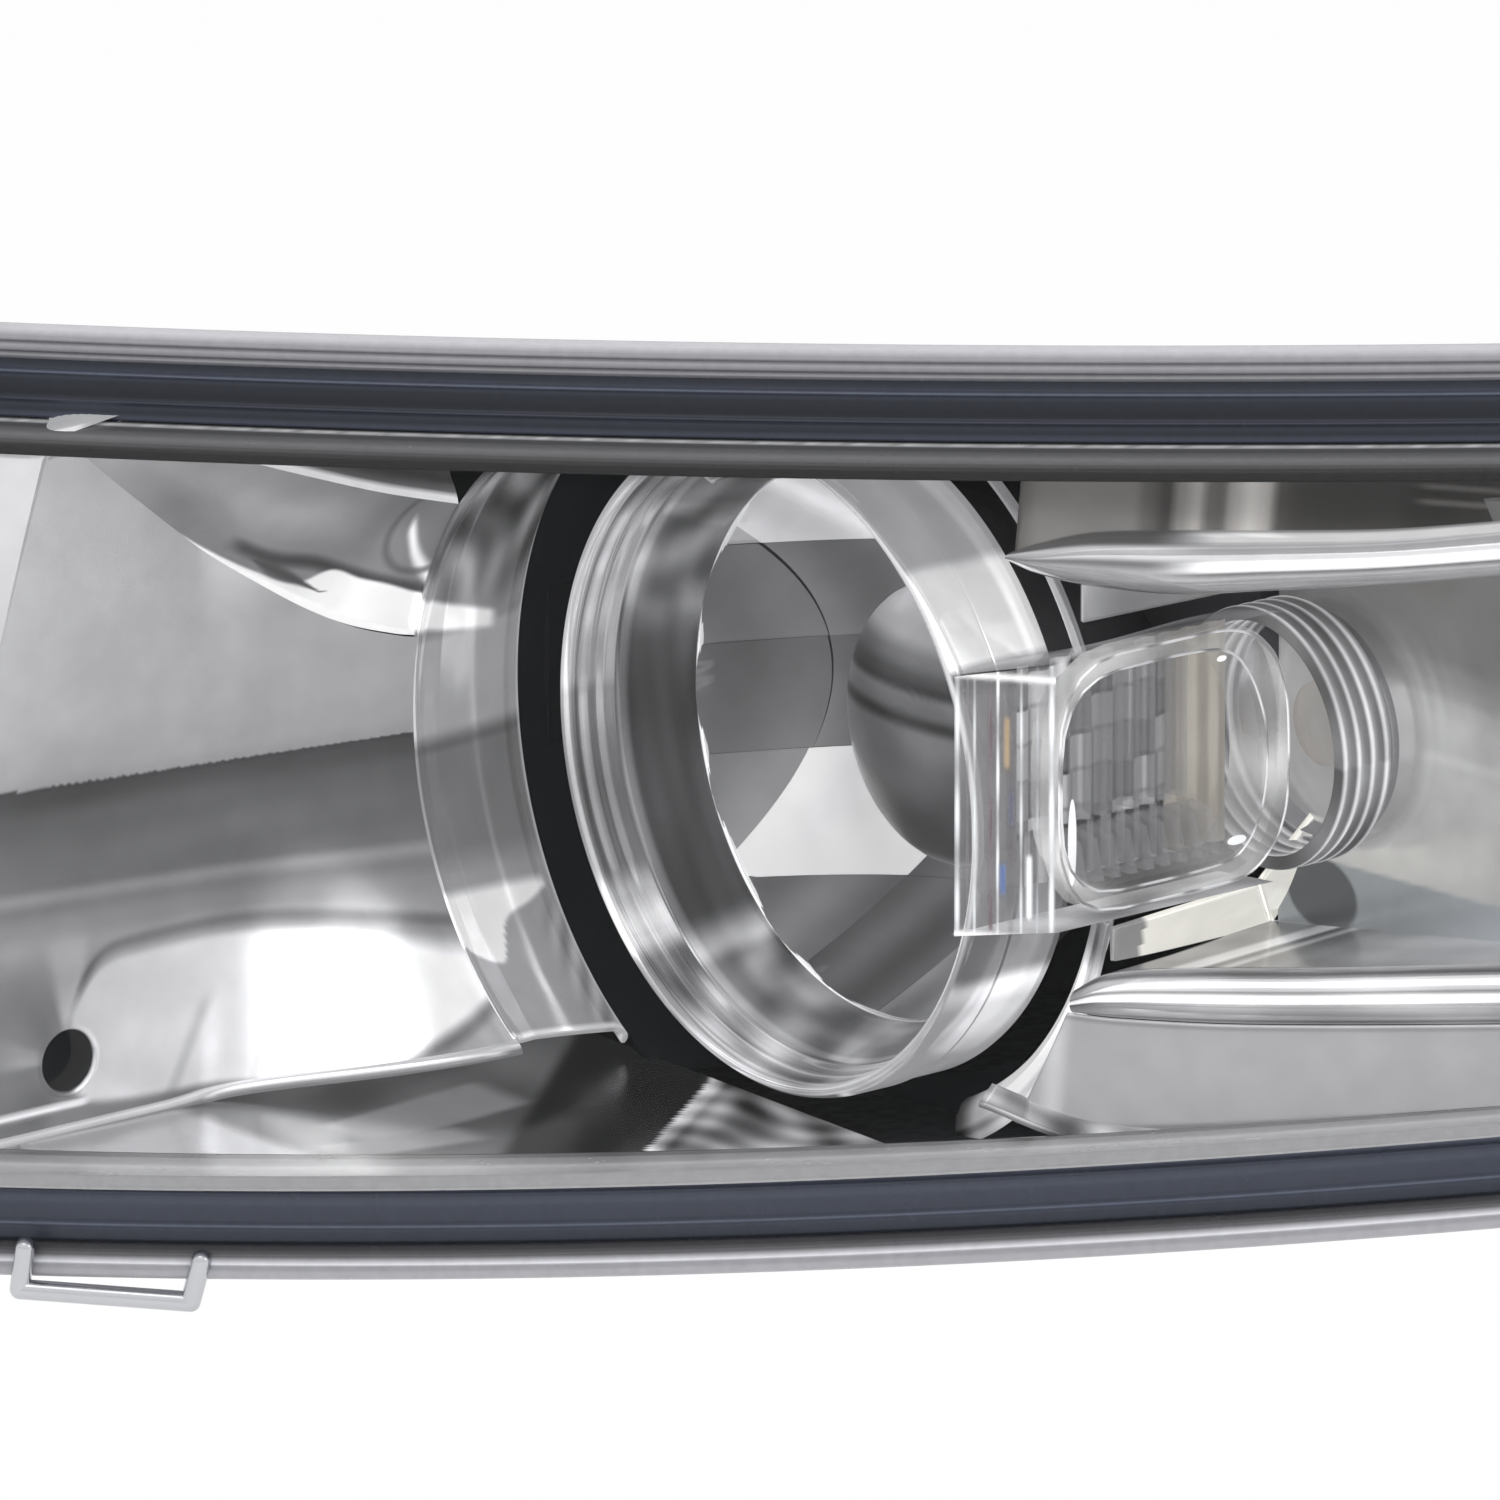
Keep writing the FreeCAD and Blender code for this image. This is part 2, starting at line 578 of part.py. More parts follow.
gear = case("gear_case", HORIZONTAL, (-4.5, 12), ("back_y", "back_y + 20"), (-5, 17))
piece(cut("horizontal_gearbox", gear, stem("gear_bore", "rod + 0.05", HORIZONTAL, "back_y - 1", "18"),
          stem("gear_knob_bore", "3.05", HORIZONTAL, "back_y + 17", "6")), "horizontal_gearbox")
piece(fuse("horizontal_knob", stem("horizontal_shaft", "3", HORIZONTAL, "back_y + 17.5", "6"),
           stem("horizontal_grip", "6.5", HORIZONTAL, "back_y + 20.5", "11"),
           case("horizontal_wing", HORIZONTAL, (-9, 9), ("back_y + 25", "back_y + 31"), (-1.5, 1.5))),
      "horizontal_knob")

# ---------------------------------------------------------------- high-beam unit

piece(bowl("high_reflector", "high_x", "high_low", "high_y", "high_radius", "high_depth", "socket_radius"),
      "high_reflector")
piece(turned("high_ring", "high_x", "high_low", (
    ("high_radius", "0"), ("high_radius + 3.6", "0"), ("high_radius + 4.6", "-9"),
    ("high_radius + 3.4", "-10.5"),
    ("high_radius + 1.6", "-9.5")), "high_y"), "high_ring")
high_seat = "high_depth - 7"
bulb("high", "high_x", "high_low", "high_y", high_seat)
bail("high", "high_x", "high_low", "high_y + high_depth - 0.4")
piece(cut("high_carrier", fuse(
    "high_carrier_solid", rod("high_plate", "20", "high_x", "high_y + high_depth - 5", "high_low", "2"),
    box("high_arm", ("high_x - 46", "high_x + 44"), ("high_y + high_depth - 5", "high_y + high_depth - 3"),
        ("high_low - 5", "high_low + 5"))),
    rod("high_carrier_bore", "socket_radius + 0.1", "high_x", "high_y", "high_low", "90")), "high_carrier")

# ---------------------------------------------------------------- rear caps


def cap(prefix, radius, x, y, z):
    """A bayonet cap over a tower, with a grip bar, and the rubber ring it presses on the tower."""
    top = "%s + tower_length" % y
    rim = "%s + cap_play + 3" % radius
    skirt = "%s - cap_height + 4" % top
    solid = fuse(prefix + "_cap_solid", rod(prefix + "_cap_disc", rim, x, skirt, z, "cap_height"),
                 box(prefix + "_cap_grip", (x + " - 4", x + " + 4"), (top + " + 4", top + " + 12"),
                     ("%s - %s + 4" % (z, radius), "%s + %s - 4" % (z, radius))))
    piece(cut(prefix + "_cap", solid,
              rod(prefix + "_cap_space", radius + " + cap_play", x, skirt + " - 1", z, "cap_height - 1.5")),
          prefix + "_cap")
    piece(tube(prefix + "_cap_seal", radius, radius + " - wall", x, top, z, "1.2"), prefix + "_cap_seal")


for name, radius, x, y, z in towers:
    cap(name, radius, x, y, z)

# ---------------------------------------------------------------- turn signal

turn_box = box("turn_block", ("58", "turn_side"), ("-12", "turn_back"), ("turn_z - 21", "turn_z + 22"))
turn_inside = box("turn_inside", ("57", "turn_side - 2.5"), ("-20", "turn_back - 3"),
                  ("turn_z - 18.5", "turn_z + 19.5"))
turn_slope = lens_box("turn_slope", (-20, 260), (-120, 160), (-21, 90))
piece(cut("turn_optic", turn_box, turn_inside, turn_slope), "turn_optic")
piece(cut("turn_collar",
          fuse("collar_solid", rod("collar_body", "turn_collar", "turn_x", "turn_back", "turn_z", "11"),
                              *[rod("collar_rib_%d" % number, "turn_collar + 1", "turn_x",
                                    "turn_back + %g" % (1 + 3 * number), "turn_z",
                                    "1.2") for number in range(4)]),
          rod("collar_bore", "turn_collar - 2.5", "turn_x", "turn_back - 1", "turn_z", "13")),
      "turn_collar")
piece(turned("turn_reflector", "turn_x", "turn_z", (
    ("turn_collar - 3.5", "turn_back + 11.2"), ("turn_collar - 1.5", "turn_back + 11.2"), ("12.4", "88"),
    ("10.6", "88"))), "turn_reflector")
piece(turned("turn_bulb", "turn_x", "turn_z", (
    ("0", "62"), ("7", "64"), ("9", "71"), ("7", "79"), ("6", "84"), ("6", "92"), ("0", "92"))),
      "turn_bulb")
piece(fuse("turn_bulb_holder",
           rod("turn_holder_neck", "turn_hole - 0.3", "turn_x", "92", "turn_z", "10"),
           rod("turn_holder_rim", "16", "turn_x", "back_y + 0.2", "turn_z", "4"),
           rod("turn_holder_body", "11", "turn_x", "back_y + 4", "turn_z", "12"),
           box("turn_holder_wing", ("turn_x - 16", "turn_x + 16"), ("back_y + 4", "back_y + 12"),
               ("turn_z - 2", "turn_z + 2"))), "turn_bulb_holder")

# ---------------------------------------------------------------- parking lamp, connector, vent, screws

piece(rod("parking_bulb", "4.6", "-81", "park_y", "park_z", "13", "x"), "parking_bulb")
piece(rod("parking_bulb_holder", "6", "-97", "park_y", "park_z", "16", "x"), "parking_bulb_holder")
piece(cut("main_connector",
          box("connector_shell", ("112", "146"), ("back_y", "back_y + 20"), ("-28", "-8")),
          box("connector_mouth", ("114", "144"), ("back_y + 4", "back_y + 24"), ("-26", "-10"))),
      "main_connector")
piece(fuse("connector_pins", *[
    box("pin_%d_%d" % (column, level), ("%g" % (118 + 5 * column), "%g" % (119 + 5 * column)),
        ("back_y + 4", "back_y + 13"), ("%g" % (-22 + 7 * level), "%g" % (-21 + 7 * level)))
    for column in range(5) for level in range(2)]), "connector_pins")
piece(fuse("breather_vent", rod("vent_stem", "4", "128", "back_y", "24", "8"),
           rod("vent_cap", "8", "128", "back_y + 8", "24", "6")), "breather_vent")
piece(fuse("motor_screws", *[
    rod("motor_screw_head_%d" % number, "3.4", "pivot_x + (%d)" % across, "back_y + 32",
        "leveller_z + (%d)" % up, "2.4")
    for number, (across, up) in enumerate(((-16, 9), (10, 9), (-16, -16), (10, -16)))]), "motor_screws")


# ---------------------------------------------------------------- check and write

def check_document():
    """Stop if any object failed, or if a sub-part's shape is missing or not valid."""
    doc.recompute()
    for thing in doc.Objects:
        if {"Invalid", "Error"} & set(thing.State):
            raise RuntimeError("%s failed: %s" % (thing.Label, thing.State))
    for thing in pieces:
        if thing.Shape.isNull() or not thing.Shape.isValid() or not thing.Shape.Solids:
            raise RuntimeError("%s has no valid shape" % thing.Label)


def write_parts():
    os.makedirs("parts", exist_ok=True)
    for thing in pieces:
        thing.Shape.exportStep("parts/%s.step" % thing.Label)
        print("%-22s solids %d  volume %.1f cm3" % (thing.Label, len(thing.Shape.Solids),
                                                    thing.Shape.Volume / 1000))


check_document()
write_parts()
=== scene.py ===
"""Studio scene of the car headlight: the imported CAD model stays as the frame, and the visible chrome,
lens and optics are made here in lamp coordinates.

Lamp coordinates are millimetres: origin at the centre of the low-beam ring's front edge, X outboard,
Y to the rear of the car, Z up.  Lens coordinates are s along the lens, t up it and w out of it.
"""
import math
import random

import bpy
from mathutils import Matrix, Vector

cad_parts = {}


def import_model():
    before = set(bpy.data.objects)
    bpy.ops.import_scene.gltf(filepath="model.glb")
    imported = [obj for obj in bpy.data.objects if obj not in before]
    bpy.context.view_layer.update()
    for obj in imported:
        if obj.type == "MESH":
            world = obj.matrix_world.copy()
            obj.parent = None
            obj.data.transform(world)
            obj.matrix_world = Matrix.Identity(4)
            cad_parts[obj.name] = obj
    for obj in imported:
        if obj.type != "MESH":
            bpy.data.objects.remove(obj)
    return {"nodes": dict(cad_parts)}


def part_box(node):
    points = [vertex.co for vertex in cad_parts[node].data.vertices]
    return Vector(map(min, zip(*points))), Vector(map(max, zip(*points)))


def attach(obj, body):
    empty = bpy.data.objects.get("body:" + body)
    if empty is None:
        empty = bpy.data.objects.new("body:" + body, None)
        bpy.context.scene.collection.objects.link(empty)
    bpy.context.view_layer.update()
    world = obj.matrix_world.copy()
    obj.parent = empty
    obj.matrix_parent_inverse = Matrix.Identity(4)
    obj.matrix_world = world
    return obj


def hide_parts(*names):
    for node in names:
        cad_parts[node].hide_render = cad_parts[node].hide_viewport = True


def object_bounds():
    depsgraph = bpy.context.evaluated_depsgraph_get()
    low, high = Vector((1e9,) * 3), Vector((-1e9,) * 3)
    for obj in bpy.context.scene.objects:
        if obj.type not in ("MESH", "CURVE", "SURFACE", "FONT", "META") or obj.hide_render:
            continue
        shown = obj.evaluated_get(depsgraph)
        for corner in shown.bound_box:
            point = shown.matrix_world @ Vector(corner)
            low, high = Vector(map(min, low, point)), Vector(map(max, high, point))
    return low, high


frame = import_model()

cad_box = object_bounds()
nodes = frame["nodes"]
MM = 0.001
RING_LOW, RING_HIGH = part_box("low_ring")
LAMP = Vector(((RING_LOW.x + RING_HIGH.x) / 2, RING_LOW.y, (RING_LOW.z + RING_HIGH.z) / 2))

# ------------------------------------------------------------------ the lens frame

SWEEP, RAKE, LENS_MID_Y = math.radians(38), math.radians(12), -82.0
ALONG = Vector((math.cos(SWEEP), math.sin(SWEEP), 0))
FRONT = Vector((math.sin(SWEEP) * math.cos(RAKE), -math.cos(SWEEP) * math.cos(RAKE), math.sin(RAKE)))
UP = FRONT.cross(ALONG)
LENS_ORIGIN = Vector((0, LENS_MID_Y, 0))
DOME, DOME_S, DOME_T = 1000.0, 20.0, 10.0
FLANGE_DEPTH = 15.0
RIM_LEFT, RIM_RIGHT, RIM_LEAN = -203.0, 245.0, 8.0
RIM_TOP, RIM_LOW = (73.0, 92.5), (-83.0, -44.0)
TOP_BEND, LOW_BEND, CORNER = 20000.0, 4200.0, 30.0
TOP_SHARE, LOW_SHARE = (0.82, 0.98), (1.14, 0.92)
WINDOW = 16.5
LOOP_COUNT = 520
DOME_COUNT, DOME_RINGS, DOME_WALL = 240, 22, 2.6
ROOF, ROOF_OUTWARD, ROOF_BACKWARD = 65.2, 0.2237, -0.2129
BEHIND_FLANGE, BEHIND_DOME = 19.0, 3.6
DISPLAY_GAMMA, COOL_TINT = 2.2, 1.012


def place(point):
    """A point of the lamp coordinates, in the row frame."""
    return LAMP + Vector(point) * MM


def from_lens(s, t, w):
    return LENS_ORIGIN + ALONG * s + UP * t + FRONT * w


def on_lens(p):
    """How far along and up the lens a point lies."""
    q = p - LENS_ORIGIN
    return q.dot(ALONG), q.dot(UP)


def fall(s, t):
    """How far the dome has dropped behind its foremost point."""
    return DOME - math.sqrt(max(1.0, DOME ** 2 - (s - DOME_S) ** 2 - (t - DOME_T) ** 2))


def arc_points(start, end, radius, count):
    """Points along the shallow arc that bulges to the left of its direction, with its last point left out."""
    chord = end - start
    sag = radius - math.sqrt(radius ** 2 - chord.length ** 2 / 4)
    side = Vector((-chord.y, chord.x)).normalized()
    return [start.lerp(end, k / count) + side * sag * 4 * (k / count) * (1 - k / count) for k in range(count)]


def outline(inset):
    """The lens outline on the flange plane, drawn in by inset, with rounded corners."""
    corners = [Vector((RIM_LEFT + inset, RIM_TOP[0] - inset * TOP_SHARE[0])),
               Vector((RIM_RIGHT - 3 * RIM_LEAN - inset, RIM_TOP[1] - inset * TOP_SHARE[1])),
               Vector((RIM_RIGHT - inset, RIM_LOW[1] + inset * LOW_SHARE[1])),
               Vector((RIM_LEFT + RIM_LEAN + inset, RIM_LOW[0] + inset * LOW_SHARE[0]))]
    bends = (TOP_BEND, 1e6, LOW_BEND, 1e6)
    counts = (90, 12, 90, 20)
    radius = CORNER - inset * 0.5
    sides = [arc_points(corners[k], corners[(k + 1) % 4], bends[k], counts[k]) for k in range(4)]
    rays = [((corners[k - 1] - here).normalized(), (corners[(k + 1) % 4] - here).normalized())
            for k, here in enumerate(corners)]
    halves = [math.acos(into.dot(away)) / 2 for into, away in rays]
    line = []
    for k in range(4):
        ahead = (k + 1) % 4
        here, after, (into, away), half = corners[k], corners[ahead], rays[ahead], halves[ahead]
        line += [p for p in sides[k] if (p - here).length > radius / math.tan(halves[k])
                 and (p - after).length > radius / math.tan(half)]
        centre = after + (into + away).normalized() * radius / math.sin(half)
        first = after + into * radius / math.tan(half) - centre
        last = after + away * radius / math.tan(half) - centre
        sweep = math.pi - 2 * half
        line += [centre + (first * math.sin(sweep * (1 - u)) + last * math.sin(sweep * u)) / math.sin(sweep)
                 for u in (part / 8 for part in range(8))]
    return line


def to_depth(point, depth):
    """Slide a point of the flange plane along the car until it lies depth behind the lens dome."""
    s, t, w = point.x, point.y, -FLANGE_DEPTH
    for _ in range(6):
        step = (w + depth + fall(s, t)) / -FRONT.y
        s, t, w = s + ALONG.y * step, t + UP.y * step, w + FRONT.y * step
    return from_lens(s, t, w)


# ------------------------------------------------------------------ meshes

def grey(level):
    """Reflectance that a display shows as the given level, 0 to 255."""
    return (max(0.0, min(255.0, level)) / 255) ** DISPLAY_GAMMA


def build(name, points, faces, material, body="root", slot=None, replaced=(), tone=None, smooth=True):
    """A mesh piece in lamp coordinates; tone gives each point's display level, its painted reflections,
    highlights and shade.
    """
    mesh = bpy.data.meshes.new(name)
    mesh.from_pydata([place(p) for p in points], [], faces)
    mesh.validate()
    for polygon in mesh.polygons:
        polygon.use_smooth = smooth
    if tone is not None:
        layer = mesh.color_attributes.new("tone", "FLOAT_COLOR", "POINT")
        for index, point in enumerate(points):
            level = tone(Vector(point))
            shades = level if isinstance(level, tuple) else (level, level, level * COOL_TINT)
            cover = shades[3] if len(shades) > 3 else 1.0
            layer.data[index].color = (*[grey(shade) for shade in shades[:3]], cover)
    piece = bpy.data.objects.new(name, mesh)
    bpy.context.scene.collection.objects.link(piece)
    mesh.materials.append(material)
    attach(piece, body)
    if replaced:
        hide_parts(*replaced)
    return piece


def angle_of(p):
    """Degrees round the lamp's axis: 0 is outboard, 90 is up."""
    return math.degrees(math.atan2(p.z, p.x)) % 360


def thicken(piece, thickness):
    """Give an open sheet its wall, on its far side."""
    solid = piece.modifiers.new("wall", "SOLIDIFY")
    solid.thickness = thickness * MM
    solid.offset = -1.0
    solid.use_even_offset = False
    return piece


def grid_faces(rows, columns, close_rows=False, close_columns=False):
    faces = []
    for i in range(rows if close_rows else rows - 1):
        for j in range(columns if close_columns else columns - 1):
            a, b = i * columns + j, i * columns + (j + 1) % columns
            c, d = ((i + 1) % rows) * columns + (j + 1) % columns, ((i + 1) % rows) * columns + j
            faces.append((a, b, c, d))
    return faces


def surface(name, rows, columns, at, material, **options):
    """A sheet whose point is at(u, v), with u and v from 0 to 1."""
    points = [at(i / (rows - 1), j / (columns - 1)) for i in range(rows) for j in range(columns)]
    return build(name, points, grid_faces(rows, columns), material, **options)


def chrome_skin(name, rows, columns, at, tone, wall=0.0, replaced=()):
    """A chrome sheet of the bezel, with a wall behind it where it needs one."""
    piece = surface(name, rows, columns, at, CHROME, slot="chrome", tone=tone, replaced=replaced)
    return thicken(piece, wall) if wall else piece


def lathe(name, profile, material, x=0.0, z=0.0, start=0.0, stop=360.0, steps=160, closed=True, **options):
    """A profile of (radius, depth) points turned about an axis along Y; angle 0 is outboard, 90 is up."""
    whole = stop - start >= 359.9
    count = steps if whole else steps + 1
    points = []
    for k in range(count):
        angle = math.radians(start + (stop - start) * k / steps)
        for r, y in profile:
            point = Vector((x + r * math.cos(angle), y, z + r * math.sin(angle)))
            points.append(Vector((point.x, y, min(point.z, roof(point)))))
    faces = grid_faces(count, len(profile), close_rows=whole, close_columns=closed)
    if closed and not whole:
        size = len(profile)
        faces.append(tuple(range(size))[::-1])
        faces.append(tuple((count - 1) * size + j for j in range(size)))
    return build(name, points, faces, material, **options)


def refine(profile, step):
    """The same open profile with extra points, no further apart than step."""
    line = []
    for a, b in zip(profile, profile[1:]):
        count = max(1, int(math.dist(a, b) / step + 0.999))
        line += [(a[0] + (b[0] - a[0]) * k / count, a[1] + (b[1] - a[1]) * k / count) for k in range(count)]
    return line + [profile[-1]]


def loop_band(name, profile, level):
    """A closed profile of (inset, depth) points swept round the lens outline, as part of the lens moulding.

    Its painted highlights and shade depend on the inset, the depth, the place along the loop and the height
    up the lens.
    """
    loops = [[to_depth(p, depth) for p in resample(outline(inset), LOOP_COUNT)] for inset, depth in profile]
    points = [p for loop in loops for p in loop]
    faces = grid_faces(len(loops), LOOP_COUNT, close_rows=True, close_columns=True)
    levels = {tuple(p): level(*profile[k // LOOP_COUNT], k % LOOP_COUNT, soft(on_lens(p)[1] + 15, 40))
              for k, p in enumerate(points)}
    return build(name, points, faces, LENS_EDGE, slot="clear_lens", tone=lambda p: levels[tuple(p)])


def resample(loop, count):
    """The same closed line with count points evenly spaced along it."""
    lengths = [0.0]
    size = len(loop)
    for k in range(size):
        lengths.append(lengths[-1] + (loop[(k + 1) % size] - loop[k]).length)
    result, k = [], 0
    for step in range(count):
        goal = lengths[-1] * step / count
        while lengths[k + 1] < goal:
            k += 1
        reach = lengths[k + 1] - lengths[k]
        result.append(loop[k].lerp(loop[(k + 1) % size], (goal - lengths[k]) / reach if reach else 0))
    return result


def ramp(value, *stops):
    """Smooth steps between (value, result) stops in rising order."""
    for (low, a), (high, b) in zip(stops, stops[1:]):
        if value <= high:
            share = max(0.0, (value - low) / (high - low))
            return a + (b - a) * share * share * (3 - 2 * share)
    return stops[-1][1]


def curve(value, *stops):
    """A smooth curve through (value, result) stops in rising order."""
    value = min(max(value, stops[0][0]), stops[-1][0])
    for k in range(len(stops) - 1):
        (low, a), (high, b) = stops[k], stops[k + 1]
        if value <= high:
            before, after = stops[max(k - 1, 0)], stops[min(k + 2, len(stops) - 1)]
            reach = high - low
            m0 = (b - before[1]) / (high - before[0]) * reach
            m1 = (after[1] - a) / (after[0] - low) * reach
            x = (value - low) / reach
            return ((2 * x ** 3 - 3 * x ** 2 + 1) * a + (x ** 3 - 2 * x ** 2 + x) * m0
                    + (3 * x ** 2 - 2 * x ** 3) * b + (x ** 3 - x ** 2) * m1)
    return stops[-1][1]


def bump(distance, width):
    """1 at distance 0, falling smoothly to 0 at the width."""
    share = min(1.0, abs(distance) / width)
    return (1 - share * share) ** 2


def soft(value, width):
    """0 up to value 0, rising smoothly to 1 at the width."""
    share = min(1.0, max(0.0, value / width))
    return share * share * (3 - 2 * share)


def mix(a, b, share):
    return a + (b - a) * share


def ripple(u, v):
    """A marbled pattern between -1 and 1, for cluttered reflections."""
    slow = math.sin(0.71 * u + 1.9 * math.sin(0.37 * v + 0.21 * u))
    quick = math.sin(1.63 * v + 2.2 * math.sin(0.43 * u))
    return 0.62 * (slow + 0.6 * quick)


def circle(x, y, z, wide, high, count):
    """Points round an ellipse that faces along the car's width."""
    turns = [math.tau * k / count for k in range(count)]
    return [Vector((x, y + wide * math.cos(turn), z + high * math.sin(turn))) for turn in turns]


def depth_of(p):
    """How far a point lies behind the front of the lens dome."""
    return -(p - LENS_ORIGIN).dot(FRONT) - fall(*on_lens(p))


def roof(p):
    """Height of the housing's roof over a point, on the inside."""
    return ROOF + ROOF_OUTWARD * p.x + ROOF_BACKWARD * p.y


def tuck(p):
    """Keep a bezel point behind the lens dome, or behind the flange beyond the window, and under the roof."""
    s, t = on_lens(p)
    share = (s - RIM_LEFT) / (RIM_RIGHT - RIM_LEFT)
    bow = (s - RIM_LEFT) * (RIM_RIGHT - s) / 2
    low = mix(*RIM_LOW, share) + WINDOW * mix(*LOW_SHARE, share) - bow / LOW_BEND
    top = mix(*RIM_TOP, share) - WINDOW * mix(*TOP_SHARE, share) + bow / TOP_BEND
    right = RIM_RIGHT - RIM_LEAN * (1.4 + t / 50) - WINDOW
    inward = min(t - low, top - t, right - s, s - RIM_LEFT - WINDOW)
    short = mix(BEHIND_FLANGE, BEHIND_DOME, soft(inward - 2.6, 2.4)) - depth_of(p)
    if short > 0:
        p = p + Vector((0, short / -FRONT.y, 0))
    return Vector((p.x, p.y, min(p.z, roof(p))))


# ------------------------------------------------------------------ materials

def new_material(name):
    material = bpy.data.materials.new(name)
    material.use_nodes = True
    tree = material.node_tree
    return material, tree, tree.nodes["Principled BSDF"]


def add_node(tree, kind, values=(), **settings):
    """A new shader node with its settings and the values of its inputs."""
    node = tree.nodes.new("ShaderNode" + kind)
    for key, setting in settings.items():
        setattr(node, key, setting)
    for key, value in dict(values).items():
        node.inputs[key].default_value = value
    return node


def noise(tree, scale, detail=3.0):
    where = add_node(tree, "TexCoord")
    texture = add_node(tree, "TexNoise", {"Scale": scale, "Detail": detail})
    tree.links.new(where.outputs["Object"], texture.inputs["Vector"])
    return texture.outputs["Fac"]


def span(tree, source, low, high):
    """Map the middle of a noise to a range."""
    node = add_node(tree, "MapRange", {"From Min": 0.3, "From Max": 0.7, "To Min": low, "To Max": high})
    tree.links.new(source, node.inputs["Value"])
    return node.outputs["Result"]


def uneven(tree, shader, grain, rough, low, high):
    """Let the roughness wander between low and high times its middle value."""
    tree.links.new(span(tree, noise(tree, grain), rough * low, rough * high), shader.inputs["Roughness"])


def blend_colours(tree, shader, grain, dark, light):
    """Let the colour wander between a darker and a lighter one."""
    node = add_node(tree, "Mix", data_type="RGBA")
    node.inputs["A"].default_value = (*dark, 1)
    node.inputs["B"].default_value = (*light, 1)
    tree.links.new(noise(tree, grain), node.inputs["Factor"])
    tree.links.new(node.outputs["Result"], shader.inputs["Base Color"])


def add_bump(tree, shader, source, strength, distance):
    node = add_node(tree, "Bump", {"Strength": strength, "Distance": distance})
    tree.links.new(source, node.inputs["Height"])
    tree.links.new(node.outputs["Normal"], shader.inputs["Normal"])


def toned(name, grain, glow):
    """A material that takes its colour and its glow from the tone of painted light and shade, with a fine
    cloudiness over it.
    """
    material, tree, shader = new_material(name)
    tone = add_node(tree, "VertexColor", layer_name="tone")
    cloud = add_node(tree, "Mix", data_type="RGBA", blend_type="MULTIPLY")
    cloud.inputs["Factor"].default_value = 1.0
    tree.links.new(tone.outputs["Color"], cloud.inputs["A"])
    tree.links.new(span(tree, noise(tree, grain), 0.95, 1.04), cloud.inputs["B"])
    for socket in ("Base Color", "Emission Color"):
        tree.links.new(cloud.outputs["Result"], shader.inputs[socket])
    shader.inputs["Emission Strength"].default_value = glow
    return material, tree, shader, tone


def metallised(name, rough, glow, wave=0.0):
    """Vacuum-metallised plastic: the tone holds painted reflections, highlights and shade for each place.

    A glow of the same tone stands for light that bounces many times between the bright surfaces.  It gives a
    large share of their brightness.
    """
    material, tree, shader, _ = toned(name, 160, glow)
    shader.inputs["Metallic"].default_value = 0.8
    uneven(tree, shader, 60, rough, 0.8, 1.3)
    if wave:
        add_bump(tree, shader, noise(tree, 70, 1.0), wave, 0.0015)
    return material


def moulded(name, rough, specular, glow=0.0):
    """Clear or dark moulding whose edges gather light; the tone holds how much, and how solid it looks."""
    material, tree, shader, tone = toned(name, 500, glow)
    tree.links.new(tone.outputs["Alpha"], shader.inputs["Alpha"])
    shader.inputs["Specular IOR Level"].default_value = specular
    uneven(tree, shader, 120, rough, 0.8, 1.3)
    return material


def chrome_plain(name, light, dark, rough):
    material, tree, shader = new_material(name)
    blend_colours(tree, shader, 35, dark, light)
    shader.inputs["Metallic"].default_value = 1.0
    uneven(tree, shader, 90, rough, 0.7, 1.3)
    return material


def plastic(name, light, dark, rough, grain, height, specular=0.3):
    """Moulded plastic with a fine grain."""
    material, tree, shader = new_material(name)
    blend_colours(tree, shader, 120, dark, light)
    shader.inputs["Specular IOR Level"].default_value = specular
    uneven(tree, shader, 400, rough, 0.85, 1.15)
    add_bump(tree, shader, noise(tree, grain, 4.0), height, 0.0004)
    return material


def clear(name, tint, haze, rough, specular):
    """Clear moulding: mostly see-through, with a faint milkiness and a gloss that grows at the edges."""
    material, tree, shader = new_material(name)
    blend_colours(tree, shader, 80, [0.94 * part for part in tint], tint)
    shader.inputs["Roughness"].default_value = rough
    shader.inputs["Specular IOR Level"].default_value = specular
    weight = add_node(tree, "LayerWeight", {"Blend": 0.3})
    spread = add_node(tree, "MapRange", {"To Min": haze[0], "To Max": haze[1]})
    tree.links.new(weight.outputs["Facing"], spread.inputs["Value"])
    tree.links.new(spread.outputs["Result"], shader.inputs["Alpha"])
    return material


CHROME = metallised("chrome_bezel", 0.20, 0.62)
CHROME_RING = metallised("chrome_ring", 0.12, 0.55, wave=0.06)
MIRROR = metallised("reflector_mirror", 0.35, 0.42)
LENS_EDGE = moulded("lens_edge", 0.22, 0.2)
CHROME_CAD = chrome_plain("chrome_plain", (0.62, 0.62, 0.64), (0.50, 0.50, 0.52), 0.12)
STEEL = chrome_plain("spring_steel", (0.66, 0.67, 0.69), (0.45, 0.46, 0.49), 0.22)
ZINC = chrome_plain("zinc_steel", (0.52, 0.53, 0.54), (0.40, 0.40, 0.42), 0.35)
BULB_METAL = chrome_plain("bulb_metal", (0.55, 0.54, 0.53), (0.42, 0.41, 0.40), 0.30)
BRASS = chrome_plain("terminal_brass", (0.78, 0.66, 0.38), (0.65, 0.52, 0.28), 0.28)
BLACK = plastic("black_housing", (0.022, 0.023, 0.026), (0.012, 0.013, 0.016), 0.55, 900, 0.25)
BLACK_GAP = plastic("black_gap", (0.016, 0.020, 0.022), (0.008, 0.010, 0.011), 0.7, 400, 0.1, specular=0.05)
GREY_PLASTIC = plastic("grey_plastic", (0.16, 0.16, 0.17), (0.10, 0.10, 0.11), 0.5, 700, 0.2)
